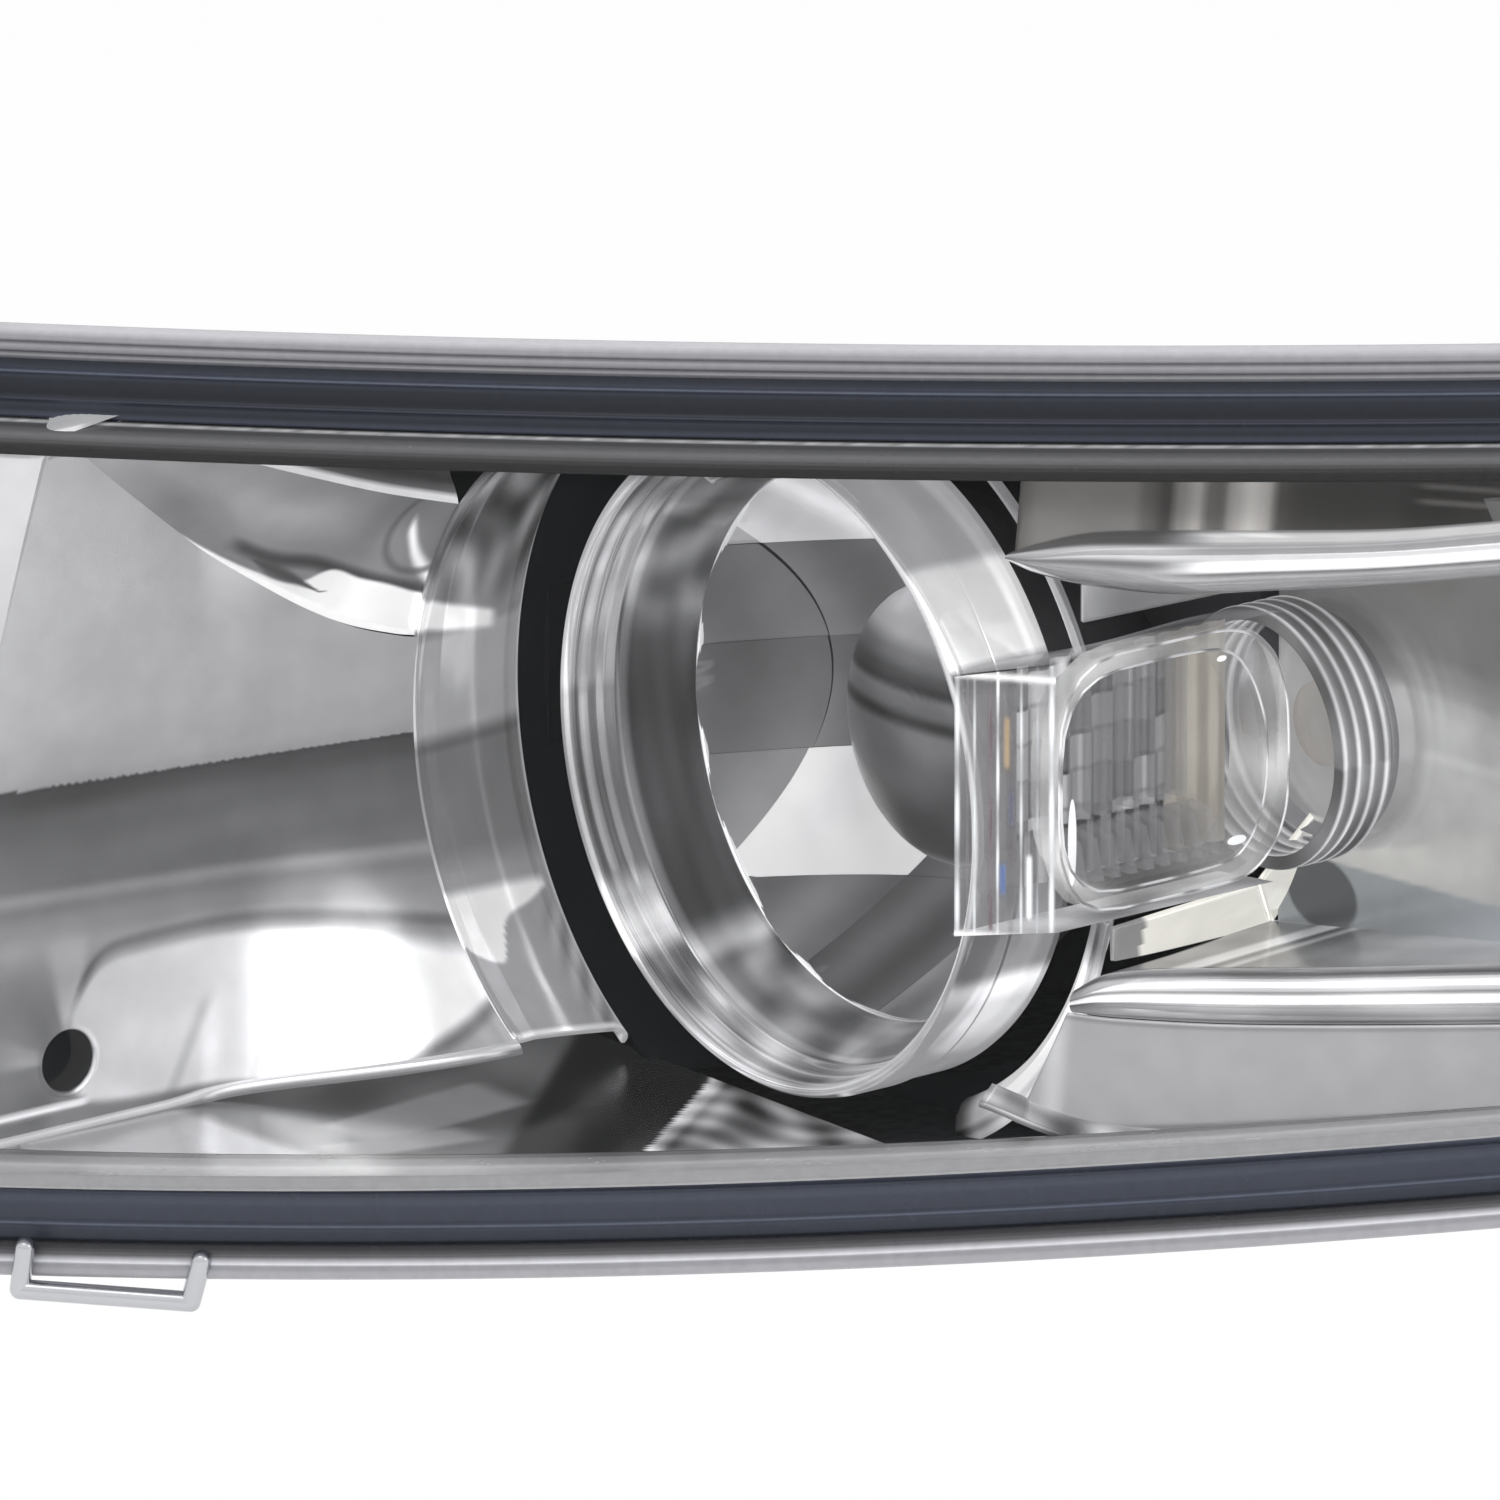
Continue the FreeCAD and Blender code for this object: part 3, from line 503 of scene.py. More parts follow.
WHITE_NYLON = plastic("white_nylon", (0.72, 0.71, 0.67), (0.60, 0.59, 0.56), 0.4, 500, 0.1)
PALE_PLUG = plastic("pale_plug", (0.56, 0.55, 0.50), (0.46, 0.45, 0.40), 0.5, 500, 0.15)
RUBBER = plastic("black_rubber", (0.014, 0.014, 0.015), (0.008, 0.008, 0.009), 0.8, 300, 0.2)
LENS_CLEAR = clear("lens_clear", (0.93, 0.95, 0.97), (0.004, 0.10), 0.02, 0.10)
OPTIC = clear("clear_optic", (0.72, 0.72, 0.74), (0.10, 0.55), 0.05, 0.3)
BULB_GLASS = clear("bulb_glass", (0.9, 0.92, 0.95), (0.06, 0.5), 0.03, 0.5)
MOULDED_OPTIC = moulded("moulded_optic", 0.1, 0.2, 0.6)
OPTIC_PANE = clear("optic_pane", (0.8, 0.8, 0.82), (0.03, 0.3), 0.04, 0.3)
AMBER = clear("amber_glass", (0.72, 0.55, 0.36), (0.06, 0.45), 0.05, 0.3)

# ------------------------------------------------------------------ CAD nodes that stay

FINISH = (
    (BLACK, "housing_shell low_tower high_tower leveller_motor horizontal_gearbox low_cap high_cap "
            "main_connector breather_vent"),
    (RUBBER, "lens_seal low_cap_seal high_cap_seal"),
    (STEEL, "lens_clips lens_bail low_bulb_clip high_bulb_clip"),
    (ZINC, "mount_sleeves pivot_stud motor_screws"),
    (GREY_PLASTIC, "low_carrier high_carrier turn_bulb_holder parking_bulb_holder"),
    (WHITE_NYLON, "pivot_socket leveller_rod horizontal_rod vertical_knob horizontal_knob"),
    (BULB_GLASS, "low_bulb_glass high_bulb_glass parking_bulb"),
    (BULB_METAL, "low_bulb_base high_bulb_base"),
    (PALE_PLUG, "low_bulb_plug high_bulb_plug"),
    (CHROME_CAD, "high_reflector high_ring turn_reflector"),
    (AMBER, "turn_bulb"),
    (BRASS, "connector_pins"),
)
for material, labels in FINISH:
    for label in labels.split():
        nodes[label].data.materials.clear()
        nodes[label].data.materials.append(material)

# ------------------------------------------------------------------ lens and rim


def lens_dome():
    """The clear dome: rings that close in on the middle of the window, in two skins."""
    edge = resample(outline(WINDOW), DOME_COUNT)
    points, faces = [], []
    middle = Vector((DOME_S, DOME_T))
    for side, depth in enumerate((0.0, DOME_WALL)):
        for k in range(DOME_RINGS):
            points += [to_depth(middle.lerp(p, 1 - k / DOME_RINGS), depth) for p in edge]
        base = side * DOME_RINGS * DOME_COUNT
        skin = [tuple(base + n for n in face)
                for face in grid_faces(DOME_RINGS, DOME_COUNT, close_columns=True)]
        hub = tuple(base + (DOME_RINGS - 1) * DOME_COUNT + j for j in range(DOME_COUNT))
        faces += (skin + [hub]) if side else [face[::-1] for face in skin] + [hub[::-1]]
    return build("lens_dome", points, faces, LENS_CLEAR, slot="clear_lens", replaced=["front_lens"])


def rim():
    """The lip, the dark flange and the skirt up to the dome."""
    # Painted highlights and painted shade: the bright and dark lines across the lip, the flange and the
    # skirt, different on the upper and lower side of the lens.
    def lip_level(inset, depth, k, high):
        upper = ramp(inset, (0, 186), (0.9, 150), (1.6, 152), (2.0, 104), (2.4, 150), (3.3, 140), (3.8, 96),
                     (4.3, 146), (5.2, 130))
        lower = ramp(inset, (0, 172), (0.9, 170), (2.0, 168), (2.6, 236), (3.2, 160), (3.8, 108), (4.4, 80),
                     (5.2, 78))
        level = mix(lower, upper, high)
        return level, level, level * 1.03

    loop_band("lens_lip", refine([(0, 17.6), (0, 13.4), (0.5, 12.6), (1.5, 12.4), (2.0, 13.0), (2.5, 12.5),
                                  (3.4, 12.5), (3.9, 13.1), (4.4, 12.6), (5.2, 13.4), (5.2, 17.6)], 0.5),
              lip_level)

    def flange_level(inset, depth, k, high):
        upper = ramp(inset, (5.2, 84), (6.2, 72), (7.3, 74), (7.9, 112), (8.5, 70), (9.6, 54), (11.6, 48),
                     (12.3, 50), (12.9, 74), (13.8, 66), (14.8, 56), (15.6, 76), (WINDOW, 90))
        lower = ramp(inset, (5.2, 74), (7.2, 76), (7.9, 116), (8.5, 80), (10.5, 84), (11.6, 96), (12.6, 80),
                     (13.4, 82), (14.6, 130), (WINDOW, 150))
        level = mix(lower, upper, high)
        return level * 0.93, level * 0.98, level * 1.12

    loop_band("lens_flange",
              refine([(5.2, 17.6), (5.2, 15.2), (7.4, 15.2), (7.9, 14.6), (8.4, 15.2), (12.4, 15.2),
                                     (12.9, 14.7), (13.4, 15.2), (WINDOW - 0.2, 15.2),
                      (WINDOW - 0.2, 17.6)], 0.5),
              flange_level)

    def skirt_level(inset, depth, k, high):
        # Painted glints along the skirt's front edge, on the upper side.
        painted_glints = 40 * math.sin(k * 2.3) * math.sin(k * 0.71) * bump(depth - 13.6, 1.2)
        upper = ramp(depth, (0, 40), (1.0, 76), (2.2, 112), (5, 126), (8.5, 104), (10.5, 84), (12.2, 92),
                     (13.0, 206),
                     (14.0, 200), (14.6, 84)) + painted_glints
        lower = ramp(depth, (0, 150), (0.8, 176), (4, 190), (7, 206), (9.5, 170), (11.5, 160), (13.2, 158),
                     (14.6, 110))
        return mix(lower, upper, high)

    loop_band("lens_skirt", refine([(WINDOW, 17.6), (WINDOW, 0.9), (WINDOW + 0.5, 0.25), (WINDOW + 2.4, 0.15),
                                    (WINDOW + 2.4, 2.0), (WINDOW + 2.0, 17.6)], 0.7), skirt_level)


# ------------------------------------------------------------------ inner bezel

WALL_X = -61.0
WALL_FRONT, FLARE_FRONT, WALL_BACK = -118.0, -104.0, -26.0
FLOOR_Z = -57.5
CREASE = ((-112, 72), (-100, 61.5), (-90, 52.5), (-80, 44), (-70, 35.8), (-60, 28.8), (-50, 22.5),
          (-40, 17.5),
          (-30, 14), (-26, 13))
BROW = ((-112, 70), (-85, 60), (-60, 50.5), (-44, 44.5), (-26, 38.5))
HOLE_Y, HOLE_Z, HOLE = -98.6, -46.7, 5.2


def wall_x(y, z):
    """The wall is flat near the lens and turns round to meet the band beside the lamp."""
    return mix(WALL_X, -math.sqrt(WALL_X ** 2 - min(abs(z), 57) ** 2), soft(y + 72, 46))


def wall_foot(y):
    return ramp(y, (-80, FLOOR_Z), (WALL_BACK, -50.7))


def wall_tone(p):
    """Painted light above a soft line; painted shade just under it, then a painted pool of light beside the
    bulb hole.
    """
    y, z = p.y, p.z
    over = z - 2.0 + 0.065 * (y + 113)
    if over > 0:
        level = ramp(over, (0, 158), (3, 168), (12, 176), (30, 174), (50, 168), (64, 160))
        return level + 1.5 * ripple(y / 9, z / 4)
    level = ramp(-over, (0, 74), (1.5, 82), (6, 102), (13, 114), (17, 116), (19, 148), (21, 128), (24, 142),
                 (28, 156), (34, 140), (60, 118))
    level += 4 * ripple(y / 14, z / 2.2)
    upper = curve(y, (-99.5, -44), (-96.5, -36), (-92, -31), (-86, -29.6), (-60, -30), (-40, -32.5),
                  (-26, -35))
    lower = curve(y, (-100, -52), (-92, -56), (-58, -57.2), (-50, -56), (-40, -51.5), (-26, -46))
    # A painted dark line of shade along the top edge of the pool.
    level -= 34 * bump(z - upper - 1.2, 1.6) * soft(y + 99, 3)
    pool = ramp(y, (-98, 200), (-84, 214), (-68, 226), (-58, 252), (-50, 262), (-26, 262))
    # Two painted dark streaks across the pool of light.
    pool -= (26 * bump(y + 74 - (z + 50) * 0.5, 2.2) * soft(-38 - z, 6)
             + 20 * bump(y + 61 - (z + 50) * 0.3, 1.2) * soft(-42 - z, 4))
    inside = soft(upper - z, 2.2 + 3 * soft(y + 50, 24)) * soft(z - lower, 2.0) * soft(y + 99, 2)
    level = mix(level, pool, inside)
    # Painted reflection below the pool, lighter towards the lamp.
    under = ramp(y, (-60, 120), (-52, 118), (-44, 172), (-26, 176))
    level = mix(level, under, soft(lower - z, 1.5) * soft(y + 56, 5))
    if y < -90:
        # Painted rays of reflected light and dark fanning out from the bulb hole.
        angle = math.degrees(math.atan2(z - HOLE_Z, y - HOLE_Y))
        rays = ramp(angle % 360, (60, 0), (72, -26), (82, 46), (96, 40), (108, -14), (130, -22), (150, -12),
                    (162, 14),
                    (172, 24), (182, -16), (230, -24), (260, 0))
        reach = math.hypot(y - HOLE_Y, z - HOLE_Z)
        rays *= ramp(reach, (4, 0.4), (8, 1.0), (16, 0.5), (24, 0.0))
        level += rays * soft(-90 - y, 6) * (1 - inside)
        # A painted highlight line low on the wall near the front.
        level = mix(level, 240, bump(z + 54.3, 1.0) * soft(-93 - y, 3))
    return level


def inner_wall():
    def at(u, v):
        y = WALL_FRONT + (WALL_BACK - WALL_FRONT) * u
        z = mix(wall_foot(y), min(curve(y, *CREASE), 64.0), v)
        return tuck(Vector((wall_x(y, z), y, z)))

    rows, columns = 170, 200
    points = [at(i / (rows - 1), j / (columns - 1)) for i in range(rows) for j in range(columns)]
    faces = []
    for face in grid_faces(rows, columns):
        centre = sum((points[n] for n in face), Vector()) / 4
        if math.hypot(centre.y - HOLE_Y, centre.z - HOLE_Z) > HOLE + 0.6:
            faces.append(face)
    build("bezel_wall", points, faces, CHROME, slot="chrome", tone=wall_tone, replaced=["inner_bezel"])
    edge, size = [], 64
    for radius, x in ((HOLE + 1.4, WALL_X + 0.05), (HOLE + 0.4, WALL_X + 0.05), (HOLE, WALL_X - 0.4),
                      (HOLE, WALL_X - 7)):
        edge += circle(x, HOLE_Y, HOLE_Z, radius, radius, size)
    # The hole's inner lining is painted dark as shade, and a black disc behind it stands for the shade inside
    # the hole.
    build("parking_bulb_hole", edge, grid_faces(4, size, close_columns=True), CHROME, slot="chrome",
          tone=lambda p: wall_tone(p) if p.x > WALL_X - 0.1 else 52)
    disc = circle(WALL_X - 6, HOLE_Y, HOLE_Z, HOLE + 0.1, HOLE + 0.1, 32)
    build("parking_bulb_hole_shadow", disc, [tuple(range(32))[::-1]], BLACK_GAP, slot="housing_plastic")


def flare_radius(y):
    return math.hypot(WALL_X, curve(y, *CREASE))


def flare_tone(p):
    """A painted highlight crescent along the crease, a painted dark streak of reflection above it, and a
    painted highlight bubble near the lamp.
    """
    y, z = p.y, p.z
    rise = z - curve(y, *CREASE)
    level = ramp(rise, (0, 130), (6, 140), (14, 136), (22, 128)) + 14 * soft(-78 - y, 14)
    level += 6 * ripple(y / 7, z / 3 + y / 6)
    # A painted band of shade a little above the crease, away from both ends.
    level -= 12 * bump(rise - 5, 4) * soft(y + 96, 8) * soft(-70 - y, 8)
    painted_highlight_height = curve(y, (-76, 0.2), (-70, 0.9), (-60, 2.2), (-52, 4.0), (-46, 9.0), (-40, 9.2), (-34, 9.2),
                  (-26, 8.2))
    # A painted dark wedge of reflection under the streak.
    painted_dark_wedge = bump(z - curve(y, (-62, 33.5), (-55, 29.5), (-47, 24.8)),
                 ramp(y, (-62, 0.1), (-57, 2.2), (-46, 0.2)))
    painted_dark_streak = z - curve(y, (-66, 37), (-58, 33), (-50, 31), (-44, 28.4), (-36, 25), (-26, 21.4))
    level = mix(level, 78, bump(painted_dark_streak, 2.2) * soft(y + 68, 5))
    level = mix(level, 262, soft(painted_highlight_height - rise, 0.8) * soft(y + 77, 4))
    level = mix(level, 84, painted_dark_wedge * soft(-45 - y, 2) * soft(y + 62, 1))
    painted_highlight_bubble = z - curve(y, (-35, 38), (-33, 34.5), (-30, 29), (-26, 24.5))
    level = mix(level, 258, bump(painted_highlight_bubble, 2.8) * soft(y + 34.5, 1.5))
    # A painted dark arc of reflection near the lamp.
    level = mix(level, 92, bump(math.hypot(y + 28, z - 35) - 9.5, 1.2) * 0.7 * soft(-22 - y, 3))
    return level


def inner_flare():
    def skin_x(y, z):
        return -math.sqrt(max(1.0, flare_radius(y) ** 2 - z ** 2))

    def at(u, v):
        y = FLARE_FRONT + (WALL_BACK - FLARE_FRONT) * u
        low = curve(y, *CREASE)
        z = mix(low, max(curve(y, *BROW), low + 0.2), v)
        return tuck(Vector((skin_x(y, z), y, z)))

    chrome_skin("bezel_flare", 130, 90, at, flare_tone)

    def above(u, v):
        """The brow's rounded edge and the skin that rises behind it."""
        y = FLARE_FRONT + (WALL_BACK - FLARE_FRONT) * u
        top = max(curve(y, *BROW), curve(y, *CREASE) + 0.2)
        turn = min(1.0, v * 5) * math.pi / 2
        return tuck(Vector((skin_x(y, top) - 1.0 * (1 - math.cos(turn)) - 7 * v, y + 1.5 * v,
                            top + math.sin(turn) + 15 * v)))

    # Painted highlight along the brow's rounded edge, and painted dark reflection on the skin behind it.
    chrome_skin("bezel_flare_top", 80, 26, above, lambda p: ramp(
        p.z - curve(p.y, *BROW), (0, 236), (1.3, 244), (1.9, 96), (4, 66), (10, 74), (16, 60)))


def band_tone(p):
    # Painted reflections on the band: cluttered light and dark, a painted highlight stripe, a painted bright
    # triangle low on the inboard side, painted bright and dark lines next to the lamp, and a painted
    # highlight line at 235 degrees.
    angle, y = angle_of(p), p.y
    level = ramp(angle, (80, 90), (120, 100), (140, 110), (158, 120), (168, 150), (170, 178), (184, 176),
                 (187, 112),
                 (188, 126), (202, 130), (208, 164), (224, 172), (236, 166))
    level += 46 * ripple(angle / 2.6 + y / 3, y / 2.1 - angle / 5) * soft(170 - angle, 14)
    painted_highlight_stripe = soft(angle - 160.5 - 0.35 * (y + 26), 1.6) * soft(167.5 + 0.2 * (y + 26) - angle, 1.6)
    level = mix(level, 260, painted_highlight_stripe * soft(-7 - y, 3))
    right = curve(y, (-26, 219), (-19, 222.5), (-15, 216), (-8, 213.5), (-3, 211.5))
    level = mix(level, 262, soft(angle - 208.5, 2.5) * soft(right - angle, 1.0) * soft(-2.6 - y, 1.4))
    level += 26 * math.sin(angle * 0.9 + y * 1.3) * soft(angle - 212, 6) * bump(y + 3, 6)
    level = mix(level, 226, bump(y + 0.8, 1.2) * 0.75)
    level -= 22 * bump(y + 4.2, 0.9)
    level = mix(level, 240, bump(angle - 235.4, 1.0))
    return level


def inner_band():
    profile = [(60.6, -25.6), (61.2, -26.6), (62.0, -26.4), (62.4, -24.0), (62.3, -21.0), (62.9, -17.0),
               (63.7, -12.0),
               (64.8, -6.0), (65.4, -3.0), (66.4, -1.4), (67.4, -0.3), (68.4, 0.1), (69.2, 0.0)]
    thicken(lathe("bezel_band", refine(profile, 0.8), CHROME_RING, start=72, stop=236, steps=420,
                  closed=False,
                  slot="chrome", tone=band_tone), 0.8)


def floor_tone(p):
    # Painted reflections on the bezel floor: lighter paths and a lighter front part, a painted dark patch,
    # and cluttered painted reflections with a painted bright line past the slanting edge.
    x, y = p.x, p.y
    level = 96 + 16 * ripple(x / 5, y / 6 + x / 9)
    path = soft(4 - abs(x + 32 + (y + 46) * 0.12) / 2.2, 1.2)
    level = mix(level, 138, path * soft(y + 66, 4) * soft(-26 - y, 6))
    level = mix(level, 132, soft(6 - abs(x + 20 - (y + 52) * 0.2), 3) * soft(y + 74, 5) * soft(-44 - y, 6))
    level = mix(level, 150, soft(-74 - y, 5))
    level = mix(level, 40, soft(x + 30 + (y + 26) * 0.9, 4) * soft(-14 - x - y, 4))
    edge = x + 18 + (y - 2) * 0.75
    if edge > 0:
        level = ramp(edge, (0, 210), (2.5, 170), (4, 110), (7, 140), (12, 100), (30, 130))
        level += 62 * ripple(x / 2.6 + y / 3.5, y / 2.4 - x / 6)
    return level


def inner_floor():
    def at(u, v):
        x = -61 + 119 * u
        point = tuck(Vector((x, -110, FLOOR_Z - 2.0)))
        return Vector((x, mix(point.y, 4, v), FLOOR_Z - 2.0 - v))

    chrome_skin("bezel_floor", 150, 110, at, floor_tone, 1.0)

    def foot(u, v):
        y = WALL_FRONT + (WALL_BACK - WALL_FRONT) * u
        turn = v * math.pi / 2
        z = wall_foot(y)
        return tuck(Vector((wall_x(y, z) + 1.8 * math.sin(turn), y, z - 1.9 + 1.9 * math.cos(turn))))

    # Painted highlight along the rounded foot of the wall.
    chrome_skin("bezel_wall_foot", 90, 8, foot, lambda p: ramp(
        p.z - wall_foot(p.y), (-2, 130), (-1.2, 120), (-0.5, 216), (0, 190)))

    def flap(u, v):
        """The bezel's front edge, which turns away behind the lens on the grille side."""
        return tuck(Vector((WALL_X - 34 * v, -126, mix(FLOOR_Z + 1, 63, u))))

    # Painted reflection up the flap, lighter from the middle to the top.
    chrome_skin("bezel_front_flap", 60, 30, flap, lambda p: ramp(
        p.z, (-57, 110), (-20, 112), (-4, 96), (3, 160), (64, 186)))


# ------------------------------------------------------------------ low-beam unit

def ring_tone(p):
    # Painted reflections on the ring: painted highlights, darker bands and cluttered streaks round it, and
    # painted bright and dark lines across its face.
    angle, radius, y = angle_of(p), math.hypot(p.x, p.z), p.y
    if radius > 55.4 and y > 0.5:
        return barrel_tone(p)
    level = ramp(angle, (0, 150), (60, 160), (84, 110), (100, 170), (122, 130), (150, 172), (160, 178),
                 (178, 180),
                 (181, 150), (198, 120), (212, 128), (218, 200), (224, 262), (227, 236), (232, 130),
                 (250, 176),
                 (262, 210), (270, 150), (300, 170), (360, 150))
    level += 38 * ripple(angle / 3, y * 0.7) * (soft(150 - angle, 20) * soft(angle - 84, 10)
                                                  + soft(angle - 226, 6) * soft(290 - angle, 10))
    level += 20 * math.sin(y * 2.4 + angle / 30) * bump(y - 3, 5)
    level += 36 * bump(y - 0.4, 0.9) - 30 * bump(y - 2.4, 0.8) - 26 * bump(y - 5.6, 0.7)
    return level


def barrel_tone(p):
    # Painted reflections on the barrel: inside, painted streaks and a painted bright line; outside, painted
    # white highlights and darker bands.
    angle, radius = angle_of(p), math.hypot(p.x, p.z)
    if radius < 53.2:
        level = ramp(angle, (0, 90), (60, 96), (118, 60), (140, 110), (160, 128), (172, 86), (184, 78),
                     (200, 92),
                     (226, 84), (234, 190), (238, 110), (250, 138), (280, 120), (300, 90), (360, 90))
        level += 42 * ripple(angle / 3.2, p.y / 2.4) * (soft(172 - angle, 12) * soft(angle - 112, 8)
                                                        + soft(angle - 232, 5) * soft(290 - angle, 8))
        return level + 54 * bump(p.y - 10.2, 1.2) + 9 * ripple(angle / 8, p.y)
    level = ramp(angle, (0, 110), (24, 120), (28, 60), (31, 262), (47, 262), (50, 186), (74, 178),
                 (84, 104), (95, 60),
                 (180, 70), (276, 74), (288, 104), (291, 236), (294, 168), (306, 186), (324, 190), (330, 236),
                 (334, 130), (360, 110))
    return level + 8 * ripple(angle / 6, p.y / 3)


def low_beam():
    ring = [(56.1, 9.0), (56.1, 2.0), (55.9, 0.9), (55.2, 0.15), (54.3, 0.0), (53.8, 0.5), (53.6, 1.4),
            (53.9, 2.4),
            (53.5, 3.4), (53.0, 4.6), (53.1, 5.6), (52.4, 7.0), (51.9, 9.0)]
    lathe("polished_ring", refine(ring, 0.6), CHROME_RING, steps=420, body="low_unit", slot="ring_chrome",
          tone=ring_tone, replaced=["low_ring"])
    barrel = [(51.9, 9.0), (47.3, 22.4), (46.9, 23.2), (47.4, 23.7), (48.4, 23.6), (53.8, 12.0), (53.8, 20.0),
              (54.2, 21.0), (55.2, 21.0), (55.6, 20.0), (55.7, 9.0)]
    lathe("lamp_barrel", refine(barrel, 0.9), CHROME_RING, steps=360, body="low_unit", slot="ring_chrome",
          tone=barrel_tone, replaced=["low_barrel"])
    edge = [(47.3, 22.5), (46.8, 22.9), (46.8, 23.5), (47.4, 23.3)]
    # The reflector's edge carries a painted highlight, brightest low on the inboard side.
    lathe("reflector_edge", edge, CHROME_RING, steps=240, body="low_unit", slot="ring_chrome",
          tone=lambda p: ramp(angle_of(p), (0, 150), (100, 150), (140, 210), (200, 250), (240, 255),
                              (290, 150),
                              (360, 150)))
    reflector()
    shield()


FACET = 18.75
FACET_RISE = 5.5
# Painted reflection level of each facet by (column, row); the reflector gives the other facets random painted
# levels.
FACET_REFLECTIONS = {(-3, 2): 150, (-3, 1): 168, (-3, 0): 122, (-3, -1): 118, (-3, -2): 150, (-2, 1): 212,
               (-2, 2): 130,
               (-2, 0): 128, (-2, -1): 120, (-2, -2): 262, (-1, -2): 120, (-1, -3): 104, (-2, -3): 128,
               (-1, 2): 140, (-1, 1): 206, (-1, 0): 112, (-1, -1): 84, (0, -2): 110, (0, -1): 96}


def reflector():
    """The faceted reflector: each square facet bulges a little from the paraboloid and has its own tilt."""
    opening, neck, depth, front = 46.9, 12.4, 56.8, 23.3
    rise = opening ** 2 / depth
    draw = random.Random(7)
    points, faces, levels = [], [], []
    cells = 14
    for column in range(-3, 3):
        for row in range(-3, 3):
            level = FACET_REFLECTIONS.get((column, row), draw.uniform(110, 175))
            tilt_x, tilt_z = draw.uniform(-0.04, 0.04), draw.uniform(-0.04, 0.04)
            base = len(points)
            inside = []
            for i in range(cells + 1):
                for j in range(cells + 1):
                    across, up = i / cells - 0.5, j / cells - 0.5
                    x = (column + 0.5 + across) * FACET
                    z = (row + 0.5 + up) * FACET + FACET_RISE
                    radius = max(0.1, math.hypot(x, z))
                    inside.append(neck < radius < opening)
                    held = min(max(radius, neck), opening)
                    x, z = x * held / radius, z * held / radius
                    y = front + depth - held ** 2 / rise
                    swell = 1.1 * (1 - 4 * across ** 2) * (1 - 4 * up ** 2)
                    points.append(Vector((x, y - swell + FACET * (tilt_x * across + tilt_z * up), z)))
                    # A painted highlight stripe on the upper facets, painted ripples, and a painted slope of
                    # light up or down each facet.
                    shine = 30 * bump(across - 0.1, 0.16) * (row > 0) + 12 * math.sin(9 * across + 3 * column)
                    painted_slope = -16 * up if column < -1 else 14 * up
                    levels.append(level + shine + painted_slope)
            faces += [tuple(base + n for n in face) for face in grid_faces(cells + 1, cells + 1)
                      if any(inside[n] for n in face)]
    table = {tuple(p): level for p, level in zip(points, levels)}
    build("faceted_reflector", points, faces, MIRROR, body="low_unit", slot="reflector",
          tone=lambda p: table[tuple(p)], replaced=["low_reflector"])
    back = [(opening + 2.0, 23.8)]
    for k in range(1, 13):
        along = (depth - neck ** 2 / rise) * k / 12
        back.append((math.sqrt(rise * (depth - along)) + 2.2, front + along))
    lathe("reflector_back", back + [(r - 0.9, y) for r, y in back[::-1]], GREY_PLASTIC, body="low_unit",
          slot="carrier_plastic", steps=120)


def shield():
    turns = [math.radians(7.5 * k) for k in range(13)]
    line = [(24 * math.sin(turn), 39 - 11 * math.cos(turn)) for turn in turns]
    line += [(24.0, 43.4), (23.7, 44.0), (22.9, 44.0), (22.8, 43.4), (22.8, 39.4)]
    line += [(22.8 * math.sin(math.radians(90 - 15 * k)), 39.2 - 9.8 * math.cos(math.radians(90 - 15 * k)))
             for k in range(1, 7)]

    def tone(p):
        # Painted reflections: bands of light and shade up the shield.
        return ramp(p.z, (-24, 150), (-20, 84), (-15, 78), (-6, 98), (1, 112), (3, 60), (5, 108), (7, 116),
                    (8.5, 62),
                    (10, 76), (13, 110), (17, 176), (20, 190), (24, 160)) + 8 * ripple(p.x / 4, p.z / 3)

    lathe("bulb_shield", refine(line, 1.2), MIRROR, body="low_unit", slot="reflector", closed=False,
          tone=tone,
          steps=160, replaced=["low_bulb_shield"])
    for side, sign in (("top", 1), ("low", -1)):
        block("shield_leg_" + side, [(x, y, sign * z) for z in (22.8, 24) for x, y in
                                     ((-2.5, 43), (2.5, 43), (2, 64), (-2, 64))], MIRROR, body="low_unit",
              slot="reflector", tone=lambda p: 150)


# ------------------------------------------------------------------ turn signal


def block(name, corners, material, **options):
    """A six-sided solid from its four lower and four upper corners."""
    faces = [(3, 2, 1, 0), (4, 5, 6, 7)] + [(k, (k + 1) % 4, (k + 1) % 4 + 4, k + 4) for k in range(4)]
    return build(name, [Vector(c) for c in corners], faces, material, smooth=False, **options)


TURN_X, TURN_Z, TURN_BACK, RIB_STEP = 66.0, 11.0, 51.0, 2.9
WINDOW_OUT = [(1.0, 35.2), (36, 35.6), (43, 33.5), (48, 28.5), (50.6, 21), (51, 11), (50.6, 2), (48.5, -4),
              (44, -8.4),
              (38, -9.8), (1.0, -9.8)]
WINDOW_IN = [(3.0, 31.2), (34, 31.4), (39, 29.0), (42.5, 23.5), (44.6, 17), (45, 9), (44, 3), (42, -1.5),
             (39, -4.4),
             (34, -5.2), (3.0, -5.2)]


def rounded(loop, count=5):
    """A (y, z) loop with its corners rounded by quadratic arcs."""
    line = []
    size = len(loop)
    for k, corner in enumerate(loop):
        here, before, after = Vector(corner), Vector(loop[k - 1]), Vector(loop[(k + 1) % size])
        begin, finish = before.lerp(here, 0.62), here.lerp(after, 0.38)
        line += [begin.lerp(here, u).lerp(here.lerp(finish, u),
                                          u) for u in (j / count for j in range(count + 1))]
    return line


def strip(name, loops, material, **options):
    """Faces between loops of the same length, each a list of points."""
    faces = grid_faces(len(loops), len(loops[0]), close_columns=True)
    return build(name, [p for loop in loops for p in loop], faces, material, **options)


